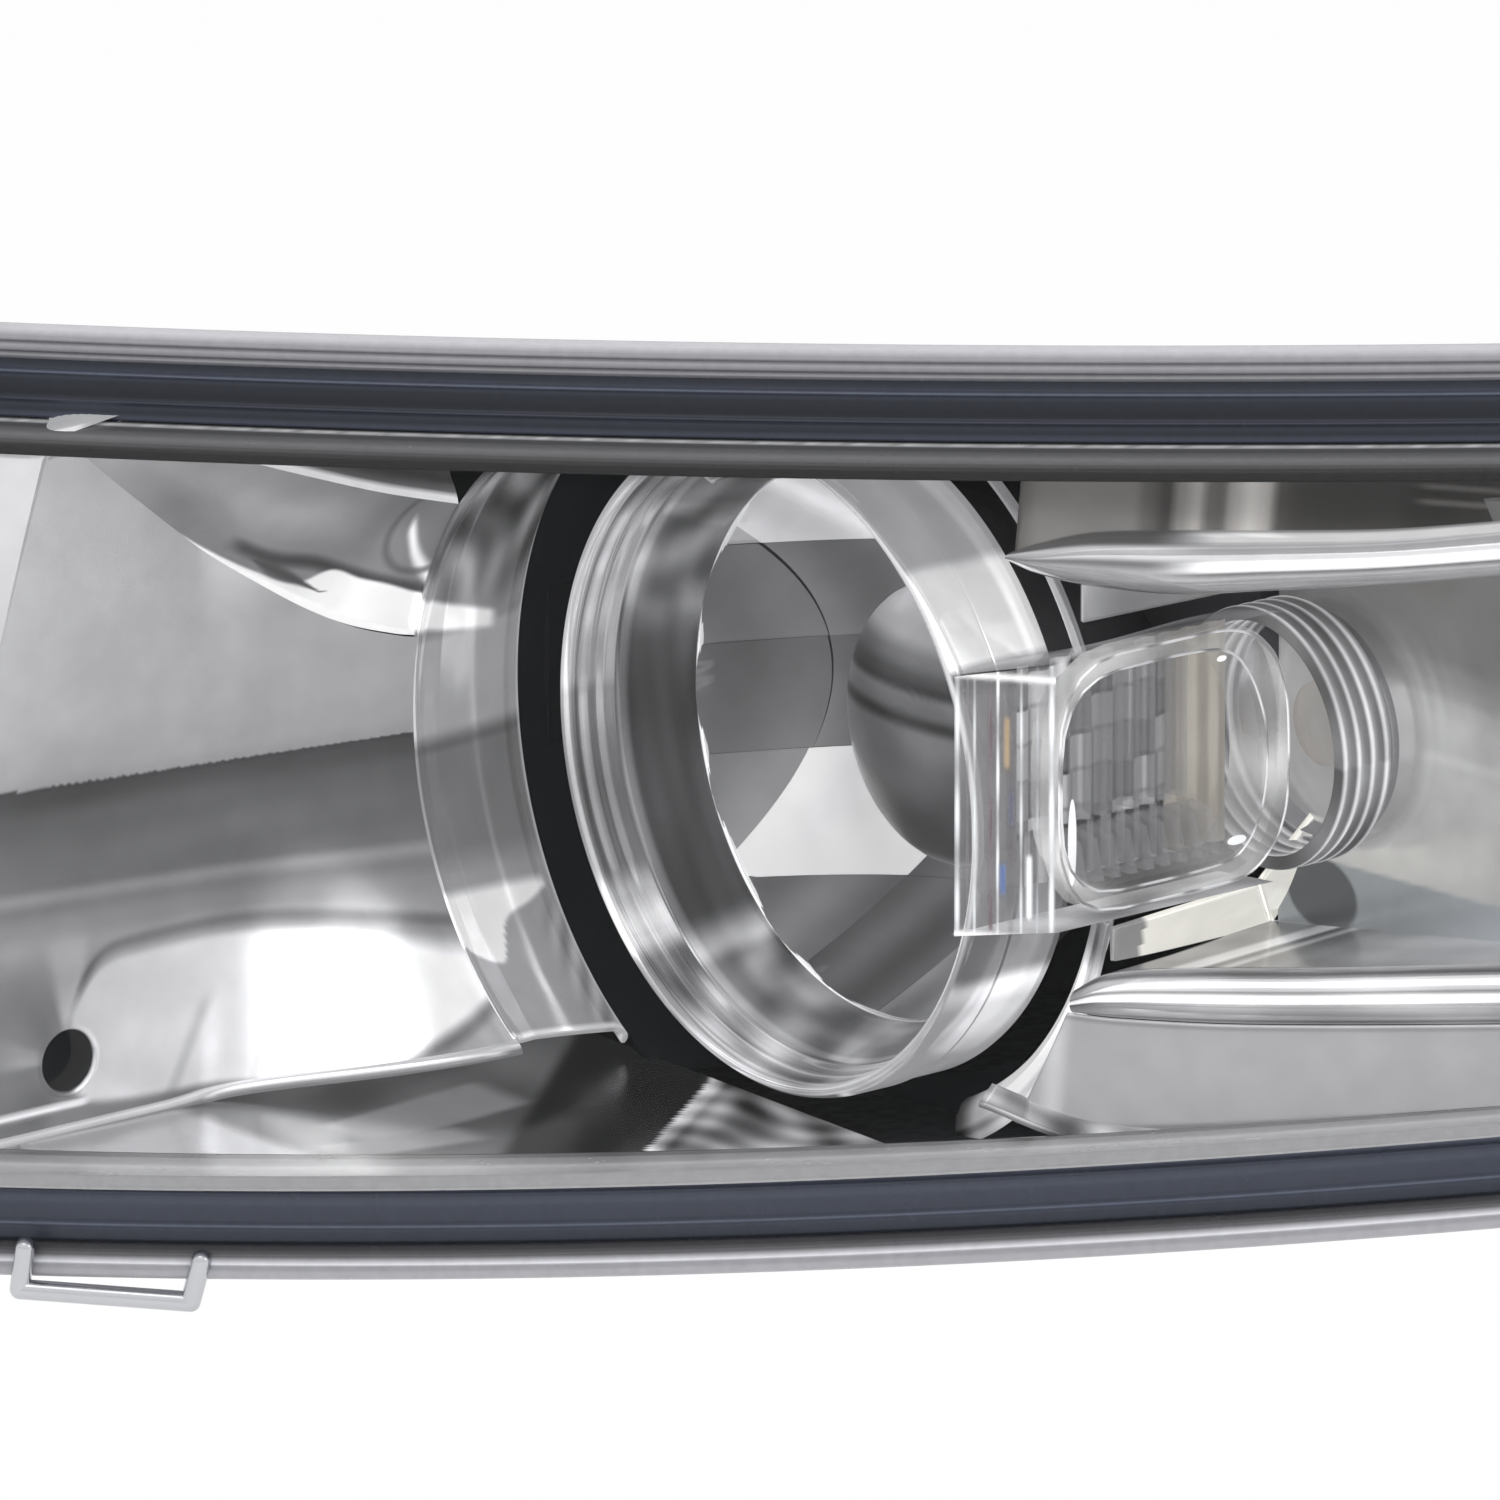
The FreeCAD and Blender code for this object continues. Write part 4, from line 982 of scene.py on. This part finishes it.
def turn_signal():
    """The clear optic with its raised frame, its prism columns, and the round ribbed collar behind it."""
    outer, inner = resample(rounded(WINDOW_OUT), 160), resample(rounded(WINDOW_IN), 160)

    def lift(loop, x, grow=0.0):
        centre = Vector((24, 13))
        return [Vector((x, *(p + (p - centre).normalized() * grow))) for p in loop]

    def frame_tone(p):
        # Painted cluttered reflections on the frame, with a painted highlight along its front edge.
        level = 150 + 60 * ripple(p.y / 4 + 1, p.z / 5) + 30 * bump(p.x - 74.9, 0.5)
        return level, level, level, 0.42 + 0.2 * ripple(p.y / 5, p.z / 4)

    strip("turn_window_frame",
          [lift(outer, 71.0), lift(outer, 74.4), lift(outer, 75.0, -0.6), lift(inner, 75.0, 0.9),
                                lift(inner, 74.3, 0.2), lift(inner, 66.0)], MOULDED_OPTIC, slot="clear_optic",
          replaced=["turn_optic"], tone=frame_tone)
    # Thin bright strips along the frame's edges: painted highlights, broken by painted dark gaps.
    for name, loop, grow, level in (("turn_edge_outer", outer, -0.5, 208),
                                    ("turn_edge_inner", inner, 1.0, 196)):
        strip(name, [lift(loop, 75.02, grow), lift(loop, 75.3, grow - 0.25), lift(loop, 75.02, grow - 0.5)],
              CHROME_RING, slot="clear_optic",
              tone=lambda p, top=level: top - 70 * soft(math.sin(p.y * 0.6 + p.z * 0.4), 1.0))
    build("turn_window_pane", lift(inner, 74.0), [tuple(range(160))], OPTIC_PANE, slot="clear_optic")

    def back_tone(p):
        # Painted reflections in the prism wall: a plain panel past the prisms, light and dark columns low
        # down, a checker of light and dark squares with dark seams, and a painted bright patch.
        y, z = p.y, p.z
        if y > 33.5:
            return (152, 147, 138)
        if z < 3.2:
            level = 150 if math.sin(y * 1.9) > 0 else 78
            return level - 40 * bump(z - 3, 1.2)
        column, row = int(y // 4.4), int((z + 1) // 6.3)
        light = (column * 7 + row * 5) % 4
        level = (86, 118, 150, 162)[light]
        seams = 50 * bump((y % 4.4) - 0.3, 0.7) * (light < 3)
        level -= seams + 46 * bump(((z + 1) % 6.3) - 0.4, 0.7) * (light != 1)
        return mix(level, 196, bump(y - 11.5, 1.6) * soft(z - 18, 3))

    surface("turn_prism_wall", 150, 110,
            lambda u, v: Vector((63.5 + 0.36 * math.sin(u * 60), mix(2, 46, u), mix(-6, 32, v))), MIRROR,
            slot="reflector", tone=back_tone)
    def prism(name, y0, near, far, low, high):
        """A clear bar that tapers; low and high are its ends as (x in front, z behind, z in front)."""
        corners = []
        for x, back_z, front_z in (low, high):
            corners += [(64, y0, back_z), (x, y0 + near, front_z), (x, y0 + far, front_z),
                        (64, y0 + 2.8, back_z)]
        block(name, corners, OPTIC, slot="clear_optic")

    for k in range(7):
        prism("prism_column_%d" % k, 12.4 + k * 3.4, 0.8, 2.0, (67.5, 4.6, 4.6), (67.5, 30.4, 30.4))
    for k in range(9):
        prism("prism_foot_%d" % k, 8 + k * 3.5, 0.5, 2.2, (72, -4.8, -4.8), (70, 2.6, 2.0))

    def front_at(u, v):
        """The slanted front pane, from the lamp's side to the window."""
        return Vector((mix(61.5, 75, u), mix(-9.5, 1.0, u), mix(mix(-12.5, -10.6, u), mix(32.0, 35.2, u), v)))

    def front_tone(p):
        """Painted highlights along the edges and painted reflections in coloured slivers, in a pane that is
        mostly clear.
        """
        u = (p.y + 9.5) / 10.5
        rise = (p.z + 12) / 45
        stripes = ((0.03, 0.05, (226, 228, 232), 0.9), (0.13, 0.035, (120, 116, 120), 0.7),
                   (0.20, 0.03, (206, 208, 212), 0.8), (0.36, 0.045, (96, 84, 88), 0.92),
                   (0.43, 0.03, (232, 232, 234), 0.9),
                   (0.56, 0.06, (112, 108, 112), 0.5), (0.66, 0.03, (214, 216, 220), 0.8),
                   (0.82, 0.03, (176, 178, 184), 0.6), (0.96, 0.05, (238, 240, 244), 0.95))
        shade, cover = (168, 168, 170), 0.22
        for middle, width, colour, solid in stripes:
            near = bump(u - middle, width) * (0.55 + 0.45 * math.sin(9 * rise + 20 * middle) ** 2)
            shade = tuple(mix(a, b, near) for a, b in zip(shade, colour))
            cover = max(cover, solid * near)
        for middle, low, high, colour in ((0.52, 0.62, 0.86, (158, 138, 112)),
                                          (0.56, 0.40, 0.58, (92, 94, 108)),
                                          (0.74, 0.05, 0.34, (238, 240, 244)),
                                          (0.48, 0.14, 0.30, (86, 104, 150))):
            near = bump(u - middle, 0.06) * soft(rise - low, 0.04) * soft(high - rise, 0.04)
            shade = tuple(mix(a, b, near) for a, b in zip(shade, colour))
            cover = max(cover, 0.85 * near)
        edge = max(bump(rise - 0.99, 0.03), bump(rise, 0.03))
        return (*[mix(part, 228, edge) for part in shade], max(cover, 0.85 * edge))

    surface("turn_front_pane", 150, 110, front_at, MOULDED_OPTIC, slot="clear_optic", tone=front_tone)
    def top_at(u, v):
        z = mix(32.1, 35.3, v) + 0.3 * math.sin(u * 9)
        return Vector((mix(60.5, 75, v), mix(mix(-9.5, 1.0, v), 49, u), z))

    def bottom_at(u, v):
        return Vector((mix(60.5, 75, v), mix(mix(-9.5, 1.0, v), 47, u), mix(-12.4, -10.7, v)))

    # The top and the bottom carry painted cluttered reflections.
    surface("turn_optic_top", 40, 20, top_at, MOULDED_OPTIC, slot="clear_optic",
            tone=lambda p: (170, 170, 173, 0.35 + 0.25 * ripple(p.x / 3, p.y / 5)))
    surface("turn_optic_bottom", 40, 20, bottom_at, MOULDED_OPTIC, slot="clear_optic",
            tone=lambda p: 160 + 30 * ripple(p.x / 3, p.y / 4))

    # Painted highlights: small bright spots on the window.
    for name, (y, z), size in (("glint_a", (4.8, 4.0), (0.9, 7.5)), ("glint_b", (39.5, -2.2), (2.0, 0.8)),
                               ("glint_c", (36.2, 29.6), (1.0, 0.5))):
        build("turn_" + name, circle(74.6, y, z, *size, 24), [tuple(range(24))], CHROME_RING,
              slot="clear_optic",
              tone=lambda p: 262)

    def collar_tone(p):
        # Painted highlight on each rib, darker at its ends, with painted cluttered reflections.
        rib = ramp((p.y - TURN_BACK) % RIB_STEP, (0, 96), (0.5, 206), (1.2, 168), (2.0, 132), (2.9, 96))
        return rib + 20 * ripple(angle_of(p - Vector((TURN_X, 0, TURN_Z))) / 9, p.y)

    profile = [(19.6, 61.4), (19.8, TURN_BACK)]
    for k in range(4):
        y = TURN_BACK + k * RIB_STEP
        profile += [(22.0, y), (22.2, y + 0.6), (21.9, y + 1.3), (21.2, y + 1.7), (21.2, y + 2.5)]
    profile += [(21.0, 61.4)]
    lathe("turn_ribbed_collar", refine(profile, 0.5), MOULDED_OPTIC, x=TURN_X, z=TURN_Z, slot="clear_optic",
          replaced=["turn_collar"], steps=200, tone=collar_tone)


# ------------------------------------------------------------------ outer bezel

BAR_LOW = ((97, 53.2), (101, 51.4), (110, 49.8), (125, 49.4), (140, 51), (160, 53.3), (180, 56), (216, 61))
BAR_TOP = ((97, 54.6), (101, 56.2), (110, 58.6), (125, 60), (140, 61), (160, 62.6), (180, 65.4), (216, 70.5))
SHELF_LOW = ((110, -20.6), (118, -21), (140, -20.5), (182, -17.5), (216, -14.5))
SHELF_TOP = ((110, -17.5), (116, -14), (130, -12), (150, -10.5), (182, -7.6), (216, -5))
FACE_LOW = ((115, -38.8), (140, -38.6), (182, -34.2), (216, -30))
BEZEL_END = 214


def bar(name, low, top, first, base, height, levels):
    """A half-round rib along the lens, between two curves of its height."""
    def at(u, v):
        s = mix(first, BEZEL_END, u)
        bottom, crest = curve(s, *low), curve(s, *top)
        turn = math.pi * v
        t = mix(bottom, crest, (1 - math.cos(turn)) / 2)
        return tuck(from_lens(s, t, base + height * math.sin(turn)))

    def tone(p):
        s, t = on_lens(p)
        bottom, crest = curve(s, *low), curve(s, *top)
        return levels(s, (t - bottom) / (crest - bottom))

    surface(name, 160, 44, at, CHROME_RING, slot="chrome", tone=tone)


def sheet(name, corners, tone, rows=60, columns=60, replaced=()):
    """A four-cornered chrome panel with a wall behind it."""
    a, b, c, d = (Vector(p) for p in corners)

    def at(u, v):
        return tuck(a.lerp(b, v).lerp(d.lerp(c, v), u))

    return chrome_skin(name, rows, columns, at, tone, 1.0, replaced)


def outer_bezel():
    """Panels and shelves round the turn signal, out to the wing side."""
    def back_tone(p):
        # Painted reflections: lighter and darker bands up the back, a painted bright line, a bluish painted
        # reflection below a slanting line, and a painted dark patch by the turn signal.
        level = ramp(p.z, (-34, 96), (-10.5, 160), (-8, 162), (0, 160), (10, 162), (19, 166), (21.5, 160),
                     (24, 140),
                     (26.5, 130), (30, 116), (62, 106)) + 2 * ripple(p.x / 9, p.z / 5)
        level += 10 * bump(p.z - 12 - (p.x - 95) * 0.06, 1.6) * soft(p.x - 88, 8)
        below = soft(-11.6 + (p.x - 75) * 0.06 - p.z, 0.8)
        painted_blue_reflection = mix(124, 150, soft(p.x - 84, 40))
        level = mix(level, painted_blue_reflection, below)
        level = mix(level, 76, soft(1 - math.hypot((p.x - 65.5) / 9.6, (p.z + 18.5) / 6.6), 0.10))
        return level, level * (1 + 0.03 * below), level * (1 + 0.06 * below)

    sheet("bezel_back", ((54, 66, 46), (128, 66, 64.5), (128, 66, -18), (54, 66, -30)), back_tone, 120, 120,
          replaced=["outer_bezel"])
    sheet("bezel_end", ((128, 66, 64.5), from_lens(219, 66, -26), from_lens(221, -30, -26), (128, 66, -18)),
          back_tone)

    def top_tone(p):
        # Painted reflections across the top panel, with painted bright lines near its outboard end.
        s, t = on_lens(p)
        level = ramp(s, (96, 84), (101, 112), (116, 112), (119, 88), (122, 66), (124, 120), (127, 152),
                     (129, 98),
                     (131, 92), (133, 148), (136, 178), (138.5, 160), (141, 78), (144, 66), (160, 64),
                     (164, 58), (216, 90))
        level += (40 * bump(t - 67, 0.8) + 34 * bump(t - 69.5, 0.8)) * soft(s - 162, 4)
        return level, level * 0.985, level * 0.97

    sheet("bezel_top", (from_lens(97, 78, -40), from_lens(BEZEL_END, 88, -42), from_lens(BEZEL_END, 66, -36),
                        from_lens(97, 53, -36)), top_tone, 60, 140)

    def brow_levels(s, v):
        # Painted highlights and painted shade across the rounded brow, brighter towards the outboard end.
        left = ramp(v, (0, 90), (0.1, 130), (0.22, 160), (0.35, 150), (0.5, 108), (0.62, 196), (0.74, 236),
                    (0.84, 110),
                    (1, 90))
        right = ramp(v, (0, 96), (0.1, 150), (0.2, 168), (0.28, 150), (0.33, 96), (0.4, 246), (0.5, 262),
                     (0.56, 190),
                     (0.72, 188), (0.8, 200), (0.86, 262), (0.94, 262), (1, 150))
        return mix(left, right, soft(s - 120, 14))

    bar("bezel_brow", BAR_LOW, BAR_TOP, 97, -34, 6.0, brow_levels)

    def shelf_levels(s, v):
        # Painted highlights and painted shade across the shelf's rounded edge, darker towards its inboard
        # end.
        level = ramp(v, (0, 150), (0.05, 90), (0.12, 168), (0.3, 172), (0.36, 140), (0.42, 262), (0.52, 240),
                     (0.58, 124), (0.64, 186), (0.82, 192), (0.9, 112), (1, 160))
        return level - 40 * soft(118 - s, 8) + 14 * ripple(s / 6, v * 5)

    bar("bezel_shelf_edge", SHELF_LOW, SHELF_TOP, 111, -35, 4.5, shelf_levels)

    def shelf_at(u, v):
        s = mix(111, 195, v)
        front = from_lens(s, curve(s, *SHELF_TOP), -34.6)
        back = Vector((50, 66, -27)).lerp(Vector((138, 66.5, -10.7)), v)
        return tuck(front.lerp(back, u))

    def shelf_tone(p):
        # Painted reflections across the shelf, with a painted highlight along its back edge.
        x = p.x - (66 - p.y) * 0.35
        level = ramp(x, (44, 60), (58, 84), (63, 90), (66, 176), (69, 186), (71, 70), (74, 150), (76, 84),
                     (84, 110),
                     (96, 136), (130, 150)) + 16 * ripple(p.x / 5, p.y / 4)
        return mix(level, 232, soft(p.y - 65.0, 0.8))

    chrome_skin("bezel_shelf", 70, 140, shelf_at, shelf_tone, 1.0)

    def face_at(u, v):
        s = mix(mix(110, 104, u), BEZEL_END, v)
        top = curve(max(s, 110), *SHELF_LOW) - 0.2
        low = curve(s, (100, -35), *FACE_LOW)
        return tuck(from_lens(s, mix(top, low, u), -34.6 + 2.0 * math.sin(u * math.pi / 2)))

    def face_tone(p):
        # Painted highlight along the top edge of the face and near its inboard end.
        s, t = on_lens(p)
        level = ramp(t - curve(s, *SHELF_LOW), (-18, 138), (-4, 140), (-1.6, 138), (-0.9, 116), (-0.2, 190))
        return level + 26 * bump(s - 108.5, 3) + 1.5 * ripple(s / 8, t / 6)

    chrome_skin("bezel_face", 60, 120, face_at, face_tone, 1.0)

    def foot_at(u, v):
        s = mix(98, BEZEL_END, v)
        t = curve(s, (98, -34), *FACE_LOW)
        return tuck(from_lens(s, t - 2.2 * u, mix(-32.6, -24, u)))

    # Painted cluttered reflections along the foot.
    chrome_skin("bezel_foot", 20, 100, foot_at, lambda p: 120 + 70 * ripple(p.x / 3, p.y / 2.5), 1.0)

    def rim_tone(p):
        # Painted highlight over part of the edge, and a painted dark line low on it.
        angle = (angle_of(p) + 180) % 360 - 180
        level = ramp(angle, (-66, 60), (-60, 190), (-52, 262), (-22, 262), (-16, 150), (0, 90), (30, 120),
                     (60, 170),
                     (88, 110))
        return level - 60 * bump(math.hypot(p.x, p.z) - 66.6, 1.2) * soft(-10 - angle, 6)

    thicken(lathe("bezel_barrel_edge",
                  refine([(60.9, 26.0), (60.9, 22.6), (61.6, 21.2), (63.4, 19.6), (66.4, 18.2),
                                               (68.6, 18.4)], 0.6), CHROME_RING, start=-66, stop=-12,
                  steps=120,
                  closed=False, slot="chrome", tone=rim_tone), 0.8)
    thicken(lathe("bezel_barrel_top", refine([(60.4, 24.0), (60.6, 22.0), (61.4, 21.4), (62.6, 22.0)], 0.5),
                  CHROME_RING,
                  start=2, stop=84, steps=90, closed=False, slot="chrome", tone=lambda p: 150), 0.8)
    # Painted highlights: the bevel is near white towards the rear and plain grey at the front, and the corner
    # is near white.
    sheet("bezel_highlight_bevel", ((66.7, 50, -13.2), (50, 66, -27), (65.8, 20, -21.3), (65.5, 20, -15.7)),
          lambda p: (250, 248, 240) if p.y > 27 else (150, 150, 150), 30, 30)
    sheet("bezel_highlight_corner", ((66.7, 50, -13.2), (62, 65.8, -5), (56, 65.8, -20), (50, 66, -27)),
          lambda p: (244, 242, 234), 20, 20)

    def niche_at(u, v):
        """The wall between the barrel and the turn signal, above the optic."""
        return Vector((mix(56, 66, v), mix(22, 64, v), mix(34, 47, u) + 3 * v))

    # Painted reflection and shade across the niche, darkest near its back.
    chrome_skin("bezel_niche", 30, 50, niche_at, lambda p: ramp(
        p.y, (22, 150), (30, 116), (50, 112), (58, 70), (64, 96)), 1.0)


# ------------------------------------------------------------------ black sheets for the housing and the shade in the gaps


def dark_gaps():
    """Black sheets in the spaces between the bezels and the round lamp, standing in for the dark housing and
    the shade there.
    """
    lathe("gap_tunnel", [(69.4, 2.0), (69.4, 58), (68.4, 58), (68.4, 2.0)], BLACK_GAP, start=96, stop=244,
          steps=90,
          slot="housing_plastic")
    lathe("gap_back", [(57.0, 30.0), (69.0, 30.0), (69.0, 31.0), (57.0, 31.0)], BLACK_GAP, start=90, stop=300,
          slot="housing_plastic", steps=120)


lens_dome()
rim()
inner_wall()
inner_flare()
inner_band()
inner_floor()
low_beam()
turn_signal()
outer_bezel()
dark_gaps()

# ------------------------------------------------------------------ studio

VIEW_ANGLE, VIEW_RISE = math.radians(51.6), math.radians(17.1)
RIGHT = Vector((math.cos(VIEW_ANGLE), math.sin(VIEW_ANGLE), 0))
TO_CAMERA = Vector((math.sin(VIEW_ANGLE) * math.cos(VIEW_RISE), -math.cos(VIEW_ANGLE) * math.cos(VIEW_RISE),
                    math.sin(VIEW_RISE)))
VIEW_UP = TO_CAMERA.cross(RIGHT)
FRAME_WIDTH, DISTANCE, SENSOR = 247.5, 8000.0, 36
FLOOR_DROP, FLOOR_REACH = 0.25, 6.0
AIM = RIGHT * -2.7 + VIEW_UP * 2.7


def camera():
    data = bpy.data.cameras.new("camera")
    data.sensor_width = SENSOR
    data.lens = SENSOR * DISTANCE / FRAME_WIDTH
    data.clip_start = 0.01
    data.clip_end = 50
    thing = bpy.data.objects.new("camera", data)
    bpy.context.scene.collection.objects.link(thing)
    turn = Matrix((RIGHT, VIEW_UP, TO_CAMERA)).transposed().to_4x4()
    thing.matrix_world = Matrix.Translation(place(AIM + TO_CAMERA * DISTANCE)) @ turn
    bpy.context.scene.camera = thing


def floor():
    mesh = bpy.data.meshes.new("floor")
    size, height = FLOOR_REACH, cad_box[0][2] - FLOOR_DROP
    corners = [(x, y, height) for x, y in ((-size, -size), (size, -size), (size, size), (-size, size))]
    mesh.from_pydata(corners, [], [(0, 1, 2, 3)])
    thing = bpy.data.objects.new("floor", mesh)
    bpy.context.scene.collection.objects.link(thing)
    material, _, shader = new_material("pale_floor")
    shader.inputs["Base Color"].default_value = (0.985, 0.985, 0.985, 1)
    shader.inputs["Roughness"].default_value = 0.9
    shader.inputs["Specular IOR Level"].default_value = 0.0
    mesh.materials.append(material)


def light(name, direction, distance, size, power, colour=(1, 1, 1)):
    data = bpy.data.lights.new(name, "AREA")
    data.shape = "RECTANGLE"
    data.size, data.size_y = size
    data.energy = power
    data.color = colour
    thing = bpy.data.objects.new(name, data)
    bpy.context.scene.collection.objects.link(thing)
    away = Vector(direction).normalized()
    thing.location = LAMP + away * distance
    thing.rotation_euler = away.to_track_quat("Z", "Y").to_euler()


def world():
    """White to the eye; the metal sees a soft grey room that is lighter overhead."""
    sky = bpy.data.worlds.new("studio")
    bpy.context.scene.world = sky
    sky.use_nodes = True
    tree = sky.node_tree
    tree.nodes.clear()
    out = add_node(tree, "OutputWorld")
    seen = add_node(tree, "Background", {"Color": (1, 1, 1, 1), "Strength": 1.0})
    room = add_node(tree, "Background")
    place_node = add_node(tree, "TexCoord")
    parts = add_node(tree, "SeparateXYZ")
    height = add_node(tree, "MapRange", {"From Min": -1.0, "From Max": 1.0})
    shades = add_node(tree, "ValToRGB")
    stops = ((0.0, 0.95), (0.40, 1.0), (0.50, 0.85), (0.56, 0.92), (0.70, 1.0), (0.85, 1.0), (1.0, 0.95))
    ramp_data = shades.color_ramp
    while len(ramp_data.elements) < len(stops):
        ramp_data.elements.new(0.5)
    for element, (position, shade) in zip(ramp_data.elements, stops):
        element.position = position
        element.color = (shade, shade, shade, 1)
    tree.links.new(place_node.outputs["Generated"], parts.inputs["Vector"])
    tree.links.new(parts.outputs["Z"], height.inputs["Value"])
    tree.links.new(height.outputs["Result"], shades.inputs["Fac"])
    tree.links.new(shades.outputs["Color"], room.inputs["Color"])
    path = add_node(tree, "LightPath")
    choose = add_node(tree, "MixShader")
    tree.links.new(path.outputs["Is Camera Ray"], choose.inputs["Fac"])
    tree.links.new(room.outputs["Background"], choose.inputs[1])
    tree.links.new(seen.outputs["Background"], choose.inputs[2])
    tree.links.new(choose.outputs["Shader"], out.inputs["Surface"])


camera()
floor()
light("key", (0.3, -0.6, 1.0), 1.6, (1.0, 0.7), 3)
light("side", (1.0, 0.2, 0.45), 1.8, (0.6, 0.8), 2)
world()
bpy.context.scene.view_settings.view_transform = "Standard"
